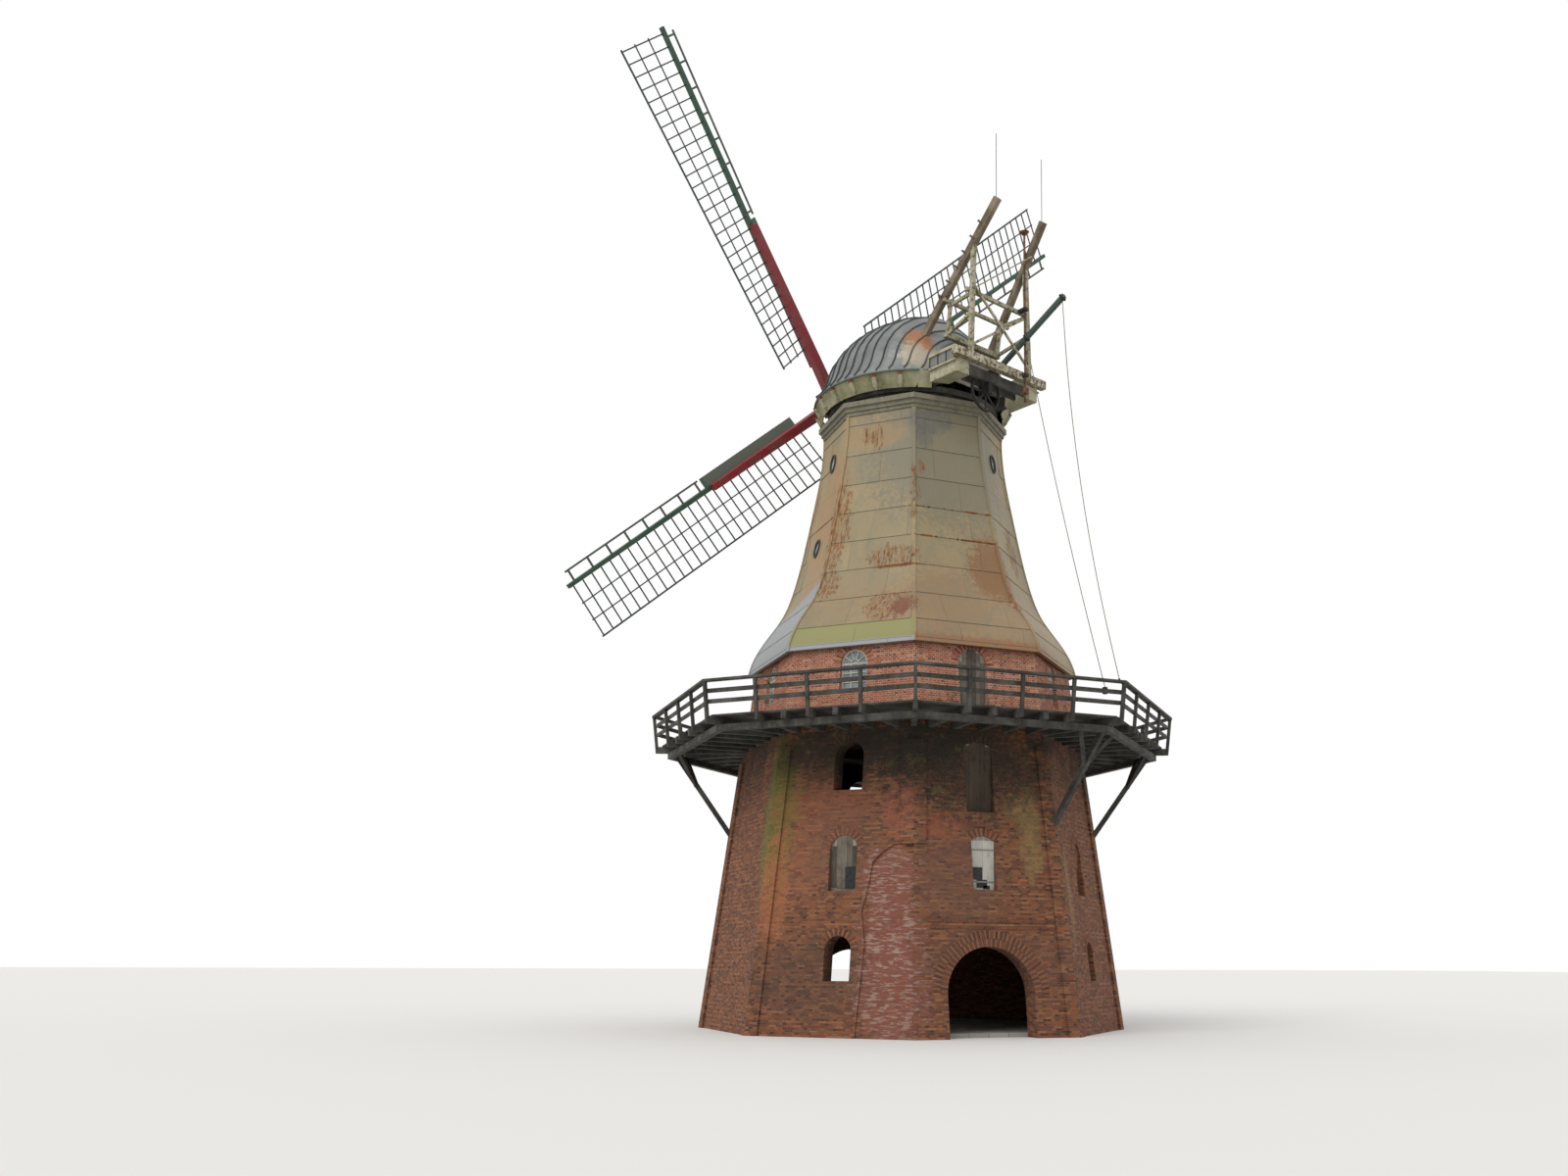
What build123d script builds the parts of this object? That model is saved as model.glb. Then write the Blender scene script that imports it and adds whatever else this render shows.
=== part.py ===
from build123d import *
import math
import os

os.makedirs("parts", exist_ok=True)

# A gallery windmill: battered brick tower, bell-flared smock, turning cap and four sails.
# Millimetres, Z up, ground at Z = 0, mill axis on the Z axis, octagon flats across X and Y.

# Driving dimensions.
FIT = 0.3
AXLE_FIT = 0.05
SIDES = 8
HALF_SIDE = 180.0 / SIDES
FLAT = math.cos(math.radians(HALF_SIDE))
SLOPE = math.tan(math.radians(HALF_SIDE))

BASE_CORNER_R = 6450.0
BASE_BATTER = 0.14
BRICK_TOP_Z = 11000.0
LOWER_WALL = 560.0
UPPER_WALL = 430.0
PILASTER_OUT = 70.0
PILASTER_HALF = 370.0
PILASTER_TOP_Z = 8120.0

DECK_TOP_Z = 8730.0
DECK_BOARD = 50.0
JOIST_DEEP = 200.0
JOIST_WIDE = 150.0
RING_BEAM_DEEP = 180.0
RING_BEAM_WIDE = 180.0
DECK_CORNER_R = 7820.0
RAIL_OUT = 340.0
RAIL_CORNER_R = DECK_CORNER_R + RAIL_OUT
RAIL_TOP_Z = 9670.0
POST_SIZE = 90.0
BAYS = 4

SMOCK_FOOT_Z = 10920.0
SMOCK_TOP_Z = 18610.0
SMOCK_WALL = 110.0
CORNICE_TOP_Z = 19000.0

CAP_YAW = 109.85
CAP_RIM_R = 3150.0
CAP_RIM_Z = 19650.0
CAP_SKIN = 40.0
CAP_FRONT_X = 2200.0
CAP_BACK_X = -2600.0
CURB_TOP_Z = 19140.0
TURN_GAP = 8.0
SHEER_Y = 1450.0
SHEER_WIDE = 260.0
SHEER_DEEP = 300.0

HUB_X = 3830.0
HUB_Z = 21170.0
SHAFT_TILT = 10.27
SAIL_TURN = 41.46
SAIL_R = 12250.0
STOCK_HALF = 6150.0
LATTICE_IN = 1950.0
LATTICE_OUT = 12070.0
LATTICE_WIDE = 1830.0
SAIL_BARS = 28
TWIST_HEEL = 22.0
TWIST_TIP = 4.0


# Small helpers.
def corner_r(z):
    """Corner radius of the battered brick tower at height z."""
    return BASE_CORNER_R - BASE_BATTER * z


def side_plane(angle):
    """Upright plane through the axis, facing out of the side whose normal has this angle."""
    c = math.cos(math.radians(angle))
    s = math.sin(math.radians(angle))
    return Plane(origin=(0, 0, 0), x_dir=(-s, c, 0), z_dir=(c, s, 0))


def section_plane(angle):
    """Upright plane through the axis whose local x runs outward at this angle."""
    c = math.cos(math.radians(angle))
    s = math.sin(math.radians(angle))
    return Plane(origin=(0, 0, 0), x_dir=(c, s, 0), z_dir=(s, -c, 0))


def sector(angle, reach, z0, z1):
    """Wedge of space that belongs to one side of the octagon, from the axis outward."""
    pts = [(0, 0), (reach, -reach * SLOPE), (reach, reach * SLOPE)]
    wedge = extrude(Plane.XY.offset(z0) * make_face(Polyline(*pts, close=True)), amount=z1 - z0)
    return wedge.rotate(Axis.Z, angle)


def side_slab(angle, outline, half):
    """Outline in (distance from axis, height) drawn out sideways by half to both hands."""
    face = section_plane(angle) * make_face(Polyline(*outline, close=True))
    return extrude(face, amount=half, both=True)


def arch_face(width, sill, crown, rise=None):
    """Opening with a straight lower part and an arched head, as a flat face."""
    half = width / 2
    rise = half if rise is None else rise
    spring = crown - rise
    edges = [
        Line((-half, sill), (half, sill)),
        Line((half, sill), (half, spring)),
        ThreePointArc((half, spring), (0, crown), (-half, spring)),
        Line((-half, spring), (-half, sill)),
    ]
    return make_face(edges)


def opening(angle, centre, width, sill, crown, near, far, rise=None):
    """Prism of an arched opening that runs outward from near to far."""
    face = Pos(centre, 0, near) * arch_face(width, sill, crown, rise)
    return extrude(side_plane(angle) * face, amount=far - near)


def box_between(p, q, wide, deep, up=(0, 0, 1)):
    """Straight timber of rectangular section from point p to point q."""
    a = Vector(p)
    b = Vector(q)
    run = b - a
    plane = Plane(origin=a, x_dir=Vector(*up).cross(run).normalized(), z_dir=run.normalized())
    return extrude(plane * Rectangle(wide, deep), amount=run.length)


def at_cap(shape):
    """Turn a shape drawn with the sails toward +X to the angle at which the cap rests."""
    return shape.rotate(Axis.Z, CAP_YAW)


def octagon(corner, z, height):
    """Octagonal prism with flats across X and Y."""
    face = RegularPolygon(corner, SIDES, major_radius=True, rotation=HALF_SIDE)
    return extrude(Plane.XY.offset(z) * face, amount=height)


def rail_point(corner_radius, angle, share, z):
    """Point on one side of an octagonal rail line, share runs from -1 to 1 along the side."""
    a = corner_radius * FLAT
    t = a * SLOPE * share
    c = math.cos(math.radians(angle))
    s = math.sin(math.radians(angle))
    return (a * c - t * s, a * s + t * c, z)


def biggest(shape):
    """Largest solid of a shape that a cut has split."""
    return shape.solids().sort_by(SortBy.VOLUME)[-1]


def save(shape, name):
    """Write one subcomponent."""
    if isinstance(shape, (list, tuple)):
        shape = Compound(children=list(shape))
    export_step(shape, "parts/" + name + ".step")


# Brick tower: eight battered wall segments mitred at the corners.
WINDOW = 820.0
CART_GATE = 2600.0
CENTRE = 120.0
# Each entry: distance off centre, width, sill height, crown height, rise of the arch.
FACES = {
    "front": (-90, [(-CENTRE, CART_GATE, -10, 2450, 1300), (-CENTRE, 720, 3980, 5480, 150),
                    (-CENTRE, 850, 6150, 8120, 110), (-CENTRE, 880, DECK_TOP_Z, 10860, 440)]),
    "front_left": (-135, [(CENTRE, 780, 1500, 2720, 390), (CENTRE, WINDOW, 3960, 5490, 330),
                          (CENTRE, 870, 6770, 8150, 420), (70, 830, 9620, 10860, 415)]),
    "front_right": (-45, [(-CENTRE, 600, 1500, 2620, 300), (-200, 700, 9620, 10850, 350)]),
    "right": (0, [(0, WINDOW, 3960, 5490, 330), (0, 830, 9620, 10860, 415)]),
    "left": (180, [(0, 830, 9620, 10860, 415)]),
    "back_right": (45, [(0, WINDOW, 3960, 5490, 330), (0, 870, 6770, 8150, 420),
                        (0, 830, 9620, 10860, 415)]),
    "back_left": (135, [(0, WINDOW, 3960, 5490, 330), (0, 870, 6770, 8150, 420),
                        (0, 830, 9620, 10860, 415)]),
    "back": (90, [(0, CART_GATE, -10, 2450, 1300), (0, WINDOW, 3960, 5490, 330),
                  (0, 870, 6770, 8150, 420), (0, 880, DECK_TOP_Z, 10860, 440)]),
}
FLOOR_BOARD = 60.0
FLOOR_BEAM = 240.0
STEP_Z = DECK_TOP_Z - FLOOR_BOARD - FLOOR_BEAM


# Where a neighbouring building stood, the pilaster is gone and the face is rough.
SCAR_TOP = 5210.0
SCAR_DEEP = 60.0
SCAR = [(760, -10), (900, 2500), (760, 3390), (930, 4150), (1000, 4720), (1290, 5010), (1620, SCAR_TOP),
        (2900, SCAR_TOP), (2900, -10)]


def beyond_face(angle, inset, outline):
    """Region in front of a battered side, from inset behind its plain face outward, inside an outline."""
    a0 = BASE_CORNER_R * FLAT - inset
    k = BASE_BATTER * FLAT
    front = side_slab(angle, [(a0, 0), (a0 + 900, 0), (a0 + 900, 9000), (a0 - k * 9000, 9000)], 3500)
    return front & extrude(side_plane(angle) * make_face(Polyline(*outline, close=True)), amount=9000)


def wall_segment(angle, holes):
    """One side of the brick tower with its openings and its two corner pilasters."""
    a0 = BASE_CORNER_R * FLAT
    k = BASE_BATTER * FLAT
    out_top = a0 - k * BRICK_TOP_Z
    out_step = a0 - k * STEP_Z
    outline = [(a0, 0), (out_top, BRICK_TOP_Z), (out_top - UPPER_WALL, BRICK_TOP_Z),
               (out_step - UPPER_WALL, STEP_Z), (out_step - LOWER_WALL, STEP_Z), (a0 - LOWER_WALL, 0)]
    wall = side_slab(angle, outline, 3500)
    top = PILASTER_TOP_Z
    strip = [(a0 - 100, 0), (a0 + PILASTER_OUT, 0), (a0 - k * top + PILASTER_OUT, top),
             (a0 - k * top - 100, top)]
    thick = side_slab(angle, strip, 3500)
    reach = a0 + 300
    mid = extrude(
        side_plane(angle) * Pos(0, top / 2, reach - 1500) * make_face(Polyline(
            (-(a0 + PILASTER_OUT) * SLOPE + PILASTER_HALF, -top / 2 - 50),
            ((a0 + PILASTER_OUT) * SLOPE - PILASTER_HALF, -top / 2 - 50),
            ((a0 - k * top + PILASTER_OUT) * SLOPE - PILASTER_HALF, top / 2 + 50),
            (-(a0 - k * top + PILASTER_OUT) * SLOPE + PILASTER_HALF, top / 2 + 50), close=True)),
        amount=2000)
    wall = (wall + (thick - mid)) & sector(angle, reach + 400, -20, BRICK_TOP_Z + 20)
    for centre, width, sill, crown, rise in holes:
        wall -= opening(angle, centre, width, sill, crown, 3500, 7500, rise)
    if angle == -135:
        wall -= beyond_face(angle, SCAR_DEEP, SCAR)
    if angle == -90:
        wall -= beyond_face(angle, 0, [(-3000, -10), (-1700, -10), (-1700, SCAR_TOP), (-3000, SCAR_TOP)])
    if angle == -45:
        # the bricked-up window is only a recess
        face_r = a0 - k * 4700
        wall -= opening(angle, -CENTRE, 760, 3980, 5520, face_r - 130, face_r + 800, 380)
    return wall


for name, (angle, holes) in FACES.items():
    save(wall_segment(angle, holes), "brick_wall_" + name)


# Floors inside the tower, seen through the gates, windows and gallery doors.
def floor_plate(z, thick, corner):
    """Octagonal floor plate whose top is at z."""
    return octagon(corner, z - thick, thick)


def inner_corner(z, wall):
    """Corner radius of the room inside a wall of this thickness."""
    return corner_r(z) - wall / FLAT - FIT


save(floor_plate(120, 120, inner_corner(120, LOWER_WALL)), "stone_floor")
LOFTS = [(3160, LOWER_WALL), (5960, LOWER_WALL), (DECK_TOP_Z, UPPER_WALL)]
save([floor_plate(z, FLOOR_BOARD, inner_corner(z, wall)) for z, wall in LOFTS], "tower_floors")
beams = []
for z, wall in LOFTS:
    # each beam ends against the battered wall, where its upper edge touches first
    reach = inner_corner(z - FLOOR_BOARD, wall) * FLAT
    for y in (-1500, 1500):
        beams.append(Pos(0, y, z - FLOOR_BOARD - FLOOR_BEAM / 2) * Box(2 * reach, 220, FLOOR_BEAM))
save(beams, "floor_beams")


# Smock: eight bell-flared boarded and sheeted sides.
SMOCK_CURVE = [(5130, SMOCK_FOOT_Z), (4600, 12040), (4040, 12850), (3740, 13600), (3520, 14400),
               (3300, 15400), (3075, 16500), (2880, 17650), (2823, SMOCK_TOP_Z)]


def smock_outline(offset):
    """Edge of the flared section, in (distance from axis, height) of a flat side."""
    pts = [(r * FLAT - offset, z) for r, z in SMOCK_CURVE]
    return Spline(*pts)


def smock_r(z, offset=0.0):
    """Flat-side distance of the flared smock at height z."""
    edge = smock_outline(offset)
    low = 0.0
    high = 1.0
    for _ in range(30):
        middle = (low + high) / 2
        if (edge @ middle).Y < z:
            low = middle
        else:
            high = middle
    return (edge @ low).X


def smock_section(offset_out, offset_in):
    """Closed section of a shell that follows the flare."""
    outer = smock_outline(offset_out)
    inner = smock_outline(offset_in)
    lines = [outer, Line(outer @ 1, inner @ 1), inner, Line(inner @ 0, outer @ 0)]
    return make_face(lines)


def smock_side(angle):
    """One side of the smock, mitred at both corners."""
    slab = extrude(section_plane(angle) * smock_section(0, SMOCK_WALL), amount=2400, both=True)
    return slab & sector(angle, 6000, SMOCK_FOOT_Z - 50, SMOCK_TOP_Z + 50)


PORT_W = 440.0
PORT_H = 600.0
PORTS = {180: [14700, 17480], -45: [17480], 90: [17480], 45: [14700, 17480], 0: [14700]}


def port_place(angle, z):
    """Plane on a smock side at a porthole, leaning with the wall."""
    lean = math.degrees(math.atan2(smock_r(z - 400) - smock_r(z + 400), 800))
    a = math.radians(angle)
    t = math.radians(lean)
    normal = (math.cos(a) * math.cos(t), math.sin(a) * math.cos(t), math.sin(t))
    centre = (math.cos(a) * smock_r(z), math.sin(a) * smock_r(z), z)
    return Plane(origin=centre, x_dir=(-math.sin(a), math.cos(a), 0), z_dir=normal)


smock = {}
port_frames = []
port_panes = []
for i in range(SIDES):
    angle = -180 + 45 * i
    side = smock_side(angle)
    for z in PORTS.get(angle if angle != -180 else 180, []):
        place = port_place(angle, z)
        hole = extrude(place.offset(-250) * Ellipse(PORT_W / 2, PORT_H / 2), amount=400)
        side -= hole
        ring = extrude(place.offset(-110) * Ellipse(PORT_W / 2, PORT_H / 2), amount=160)
        ring -= extrude(place.offset(-150) * Ellipse(PORT_W / 2 - 45, PORT_H / 2 - 45), amount=300)
        port_frames.append(ring)
        port_panes.append(extrude(place.offset(-20) * Ellipse(PORT_W / 2 - 45, PORT_H / 2 - 45), amount=8))
    smock[angle] = side
save([smock[a] for a in (-135, -45, 45, 135)], "smock_sides_diagonal")
save([smock[a] for a in (-180, -90, 0, 90)], "smock_sides_square")
save(port_frames, "porthole_frames")

STRIP_HALF = 60.0
STRIP_OUT = 30.0


def smock_corner_strip(angle):
    """Cover strip bent along one arris of the smock."""
    pts_out = [(r + STRIP_OUT, z) for r, z in SMOCK_CURVE]
    pts_in = [(r - 60, z) for r, z in SMOCK_CURVE]
    outer = Spline(*pts_out)
    inner = Spline(*pts_in)
    face = make_face([outer, Line(outer @ 1, inner @ 1), inner, Line(inner @ 0, outer @ 0)])
    strip = extrude(section_plane(angle) * face, amount=STRIP_HALF, both=True)
    for side_angle in (angle - HALF_SIDE, angle + HALF_SIDE):
        body = extrude(section_plane(side_angle) * smock_section(0, 300), amount=2600, both=True)
        strip -= body & sector(side_angle, 6000, SMOCK_FOOT_Z - 50, SMOCK_TOP_Z + 50)
    return strip


first_strip = smock_corner_strip(HALF_SIDE)
save([first_strip.rotate(Axis.Z, 45 * i) for i in range(SIDES)], "smock_corner_strips")

cornice_in = (SMOCK_CURVE[-1][0] * FLAT - SMOCK_WALL) / FLAT
cornice = octagon(2870, SMOCK_TOP_Z, 110)
cornice += octagon(2930, SMOCK_TOP_Z + 110, 130)
cornice += octagon(3010, SMOCK_TOP_Z + 240, CORNICE_TOP_Z - SMOCK_TOP_Z - 240)
cornice -= octagon(cornice_in, SMOCK_TOP_Z - 10, 500)
save(cornice, "smock_cornice")

CURB_OUT = 2600.0
CURB_IN = 2280.0
CAP_RING_IN = 2360.0
RIM_UP = 90.0
curb = Pos(0, 0, (CORNICE_TOP_Z + CURB_TOP_Z) / 2) * Cylinder(CURB_OUT, CURB_TOP_Z - CORNICE_TOP_Z)
curb += Pos(0, 0, (CORNICE_TOP_Z + CURB_TOP_Z + RIM_UP) / 2) * Cylinder(
    CAP_RING_IN - AXLE_FIT, CURB_TOP_Z + RIM_UP - CORNICE_TOP_Z)
curb -= Pos(0, 0, CORNICE_TOP_Z) * Cylinder(CURB_IN, 1000)
save(curb, "cap_curb")

# Floors inside the smock; the lowest lies on the brick tower and carries the flared sides.
SMOCK_FLOORS = [BRICK_TOP_Z + FLOOR_BOARD, 13700, 16400]
smock_floors = [floor_plate(z, FLOOR_BOARD, smock_r(z, SMOCK_WALL + FIT) / FLAT) for z in SMOCK_FLOORS]
save(smock_floors, "smock_floors")


# Gallery: deck on joists, ring beam, raking struts and a leaning rail.
deck_in = corner_r(DECK_TOP_Z - DECK_BOARD) + FIT
deck = octagon(DECK_CORNER_R, DECK_TOP_Z - DECK_BOARD, DECK_BOARD)
deck -= octagon(deck_in, DECK_TOP_Z - 200, 400)
save(deck, "gallery_deck")

# The rail posts lean outward and are fixed to the ends of the joists.
POST_OUT = 147.0
POST_FOOT_R = DECK_CORNER_R + POST_OUT
POST_FOOT_Z = DECK_TOP_Z - DECK_BOARD - JOIST_DEEP
POST_HEAD_R = RAIL_CORNER_R - 75
RAIL_CAP = 68.0
POST_HEAD_Z = RAIL_TOP_Z - RAIL_CAP
LEAN = math.atan2(POST_HEAD_R - POST_FOOT_R, POST_HEAD_Z - POST_FOOT_Z)
POST_HALF = POST_SIZE / 2 / math.cos(LEAN)

joist_z = DECK_TOP_Z - DECK_BOARD - JOIST_DEEP / 2
joist_foot = corner_r(POST_FOOT_Z) + FIT
joists = []
for i in range(SIDES):
    angle = 45 * i
    inner = joist_foot * FLAT
    outer = POST_FOOT_R * FLAT - POST_HALF - FIT
    for share in (-0.5, -0.25, 0, 0.25, 0.5):
        off = POST_FOOT_R * FLAT * SLOPE * share
        beam = Pos((inner + outer) / 2, off, joist_z) * Box(outer - inner, JOIST_WIDE, JOIST_DEEP)
        joists.append(beam.rotate(Axis.Z, angle))
    outer = POST_FOOT_R - POST_HALF - FIT
    beam = Pos((joist_foot + outer) / 2, 0, joist_z) * Box(outer - joist_foot, JOIST_WIDE, JOIST_DEEP)
    joists.append(beam.rotate(Axis.Z, angle + HALF_SIDE))
save(joists, "gallery_joists")

ring_top = DECK_TOP_Z - DECK_BOARD - JOIST_DEEP
RING_IN = 180.0
RING_R = DECK_CORNER_R - RING_IN
ring_beam = octagon(RING_R, ring_top - RING_BEAM_DEEP, RING_BEAM_DEEP)
ring_beam -= octagon(RING_R - RING_BEAM_WIDE / FLAT, ring_top - 300, 600)
save(ring_beam, "gallery_ring_beam")

STRUT = 150.0
BRANCH = 110.0
BRANCH_REACH = 900.0
FORK = 0.6
strut_foot_z = 5950.0
strut_head_z = ring_top - 30
struts = []
for corner in (-67.5, -22.5, 22.5, 67.5, 112.5, 157.5):
    foot_r = corner_r(strut_foot_z) + PILASTER_OUT / FLAT
    head_r = RING_R - RING_BEAM_WIDE / FLAT - 60
    start = (foot_r - 200, 0, strut_foot_z - 240)
    end = (head_r + 120, 0, strut_head_z + 180)
    timber = box_between(start, end, STRUT, STRUT).rotate(Axis.Z, corner)
    fork_r = foot_r + (head_r - foot_r) * FORK
    fork_z = strut_foot_z + (strut_head_z - strut_foot_z) * FORK
    turn = math.radians(corner)
    fork = (fork_r * math.cos(turn), fork_r * math.sin(turn), fork_z)
    ring_r = RING_R - RING_BEAM_WIDE / 2 / FLAT
    share = 1 - BRANCH_REACH / (ring_r * FLAT * SLOPE)
    for side_angle, sign in ((corner - HALF_SIDE, 1), (corner + HALF_SIDE, -1)):
        seat = rail_point(ring_r, side_angle, sign * share, ring_top)
        timber += box_between(fork, seat, BRANCH, BRANCH)
    timber -= octagon(12000, ring_top, 1500)
    tower = []
    for side_angle in (corner - HALF_SIDE, corner + HALF_SIDE):
        a0 = BASE_CORNER_R * FLAT + PILASTER_OUT
        k = BASE_BATTER * FLAT
        cut = side_slab(side_angle, [(0, 0), (a0 + 2, 0), (a0 + 2 - k * 9000, 9000), (0, 9000)], 3500)
        tower.append(cut & sector(side_angle, 8000, -10, 9010))
    timber -= tower[0]
    timber -= tower[1]
    beam_zone = octagon(9000, ring_top - RING_BEAM_DEEP, 600)
    beam_zone -= octagon(RING_R - RING_BEAM_WIDE / FLAT - 1, 8000, 900)
    struts.append(biggest(timber - beam_zone))
save(struts, "gallery_struts")

posts = []
for i in range(SIDES):
    angle = 45 * i
    for j in range(BAYS):
        share = -1 + 2 * j / BAYS
        foot = rail_point(POST_FOOT_R, angle, share, POST_FOOT_Z)
        head = rail_point(POST_HEAD_R, angle, share, POST_HEAD_Z)
        radial = angle if j else angle - HALF_SIDE
        across = (-math.sin(math.radians(radial)), math.cos(math.radians(radial)), 0)
        run = Vector(*head) - Vector(*foot)
        plane = Plane(origin=Vector(*foot), x_dir=Vector(*across), z_dir=run.normalized())
        post = extrude(plane * Rectangle(POST_SIZE, POST_SIZE), amount=run.length + 200)
        posts.append(post - Pos(0, 0, POST_HEAD_Z + 500) * Box(20000, 20000, 1000))
save(posts, "gallery_posts")


def rail_ring(corner_radius, z, deep, thick):
    """Octagonal rail of upright boards."""
    ring = octagon(corner_radius, z - deep, deep)
    return ring - octagon(corner_radius - thick / FLAT, z - deep - 10, deep + 20)


def inside_posts(z):
    """Corner radius of a rail whose lower edge at z lies against the inner face of the posts."""
    share = (z - POST_FOOT_Z) / (POST_HEAD_Z - POST_FOOT_Z)
    return POST_FOOT_R + (POST_HEAD_R - POST_FOOT_R) * share - (POST_HALF + FIT) / FLAT


MID_RAIL = 120.0
RAIL_DROPS = (250.0, 540.0)
top_rail = rail_ring(RAIL_CORNER_R, RAIL_TOP_Z, RAIL_CAP, 170)
mid_rails = []
for drop in RAIL_DROPS:
    mid_z = RAIL_TOP_Z - drop
    mid_rails.append(rail_ring(inside_posts(mid_z - MID_RAIL), mid_z, MID_RAIL, 35))
save([top_rail] + mid_rails, "gallery_rails")


# Doors, shutters, windows in the brick tower.
def fill_place(angle, z, inset):
    """Distance from the axis to an upright fill set back in the battered wall."""
    return corner_r(z) * FLAT - inset


def arch_fill(angle, centre, width, sill, crown, rise, inset, thick, gap=FIT):
    """Board or pane that fills an arched opening from jamb to jamb."""
    r = fill_place(angle, (sill + crown) / 2, inset)
    return opening(angle, centre, width - 2 * gap, sill + gap, crown - gap, r - thick, r, rise - gap)


def arch_frame(angle, centre, width, sill, crown, rise, inset, thick, bar):
    """Frame of an arched opening."""
    frame = arch_fill(angle, centre, width, sill, crown, rise, inset, thick)
    r = fill_place(angle, (sill + crown) / 2, inset)
    edge = FIT + bar
    inner = opening(angle, centre, width - 2 * edge, sill + edge, crown - edge, r - thick - 50, r + 50,
                    rise - FIT - bar * 0.8)
    return frame - inner


SASH = 55.0
PANE = 6.0
shutters = []
window_frames = []
window_panes = []
doors = []
for name, (angle, holes) in FACES.items():
    for centre, width, sill, crown, rise in holes:
        spec = (angle, centre, width, sill, crown, rise)
        if sill == DECK_TOP_Z:
            doors.append(arch_fill(*spec, 150, 45))
        elif sill > 9000:
            window_frames.append(arch_frame(*spec, 110, 70, SASH))
            r = fill_place(angle, (sill + crown) / 2, 140)
            edge = SASH + 2 * FIT
            window_panes.append(opening(angle, centre, width - 2 * edge, sill + edge, crown - edge,
                                        r - PANE, r, rise - 2 * FIT - SASH * 0.8))
        elif 3900 < sill < 4100:
            shutters.append(arch_fill(*spec, 120, 35))
        elif sill == 6150:
            shutters.append(arch_fill(*spec, 140, 40))
save(shutters, "boarded_shutters")
save(window_frames, "gallery_window_frames")
save(window_panes + port_panes, "window_panes")
save(doors, "gallery_doors")


# Cap: ogee roof over a turning timber frame.
CAP_HEIGHT = [(CAP_BACK_X, 1330), (-2200, 1700), (-1800, 2180), (-1500, 2480), (-1000, 2650), (-400, 2720),
              (200, 2750), (700, 2660), (1150, 2400), (1600, 2070), (1900, 1870), (CAP_FRONT_X, 1660)]
OGEE = [(1.0, 0.0), (0.93, 0.10), (0.885, 0.21), (0.855, 0.33), (0.81, 0.45), (0.725, 0.59), (0.60, 0.73),
        (0.45, 0.85), (0.28, 0.935), (0.12, 0.985), (0.0, 1.0)]


def roof_section(x, height, shrink):
    """Ogee section of the roof at distance x along the shaft line."""
    half = math.sqrt(CAP_RIM_R ** 2 - x ** 2) - shrink * 1.05
    top = height - shrink
    right = [(s * half, CAP_RIM_Z + top * g) for s, g in OGEE]
    left = [(-y, z) for y, z in reversed(right[:-1])]
    plane = Plane(origin=(x, 0, 0), x_dir=(0, 1, 0), z_dir=(1, 0, 0))
    pts = [(right[0][0], CAP_RIM_Z - 1)] if shrink else []
    outline = pts + right + left + ([(left[-1][0], CAP_RIM_Z - 1)] if shrink else [])
    return plane * make_face(Polyline(*outline, close=True))


def roof_block(shrink):
    """Solid roof body; with a shrink it is the hollow inside."""
    return loft([roof_section(x, h, shrink) for x, h in CAP_HEIGHT], ruled=True)


roof = roof_block(0) - roof_block(CAP_SKIN)
save(at_cap(roof), "cap_roof")

BOARD = 36.0


def gable(x0):
    """Boarded end wall of the cap, set inside the roof shell."""
    slab = Pos(x0 + BOARD / 2, 0, CAP_RIM_Z + 2500) * Box(BOARD, 8000, 5000)
    return slab & roof_block(CAP_SKIN + FIT)


front_gable = gable(CAP_FRONT_X - 90)
SHAFT_R = 260.0
NECK_BACK = 2000.0
TAIL_BACK = 5300.0


def shaft_point(along):
    """Point on the windshaft line, measured back from the hub."""
    t = math.radians(SHAFT_TILT)
    return (HUB_X - along * math.cos(t), 0, HUB_Z - along * math.sin(t))


def shaft_plane(along):
    """Plane across the windshaft, facing forward."""
    t = math.radians(SHAFT_TILT)
    return Plane(origin=shaft_point(along), x_dir=(0, 1, 0), z_dir=(math.cos(t), 0, math.sin(t)))


front_gable -= extrude(shaft_plane(3000) * Circle(SHAFT_R + 60), amount=2600)
GABLE_BACK_X = CAP_BACK_X + 60
back_gable = gable(GABLE_BACK_X)

# The brake pole leaves the cap through a slot in the back gable.
POLE_Y = -800.0
POLE_IN = (-2350.0, POLE_Y, 19923.0)
POLE_OUT = (-5710.0, POLE_Y, 21680.0)
POLE_SIZE = 130.0
PIN_R = 20.0
CHEEK = 40.0
CHEEK_Y = 100.0
CHEEK_DEEP = 320.0


def pole_point(x):
    """Point on the centre line of the brake pole at x."""
    share = (x - POLE_IN[0]) / (POLE_OUT[0] - POLE_IN[0])
    return (x, POLE_Y, POLE_IN[2] + (POLE_OUT[2] - POLE_IN[2]) * share)


POLE_PIN = pole_point(-2860)
back_gable -= Pos(*pole_point(GABLE_BACK_X)) * Box(200, 2 * CHEEK_Y - CHEEK, 400)
save([at_cap(front_gable), at_cap(back_gable)], "cap_gables")

# Eaves: a funnel of soffit boards under the rim, open where the tail beams leave the cap.
soffit_face = Plane.XZ * make_face(Polyline((2860, 19200), (2890, 19200), (CAP_RIM_R - 4, CAP_RIM_Z - FIT),
                                            (CAP_RIM_R - 90, CAP_RIM_Z - FIT), close=True))
soffit = revolve(soffit_face, Axis.Z, 360)
BEAM_Z0 = CURB_TOP_Z + TURN_GAP + 182
BEAM_Z1 = BEAM_Z0 + SHEER_DEEP
tail_slot = Pos(-2900, 0, 19400) * Box(2400, 3800, 1000)
soffit -= tail_slot
save(at_cap(soffit), "eaves_soffit")

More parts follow.
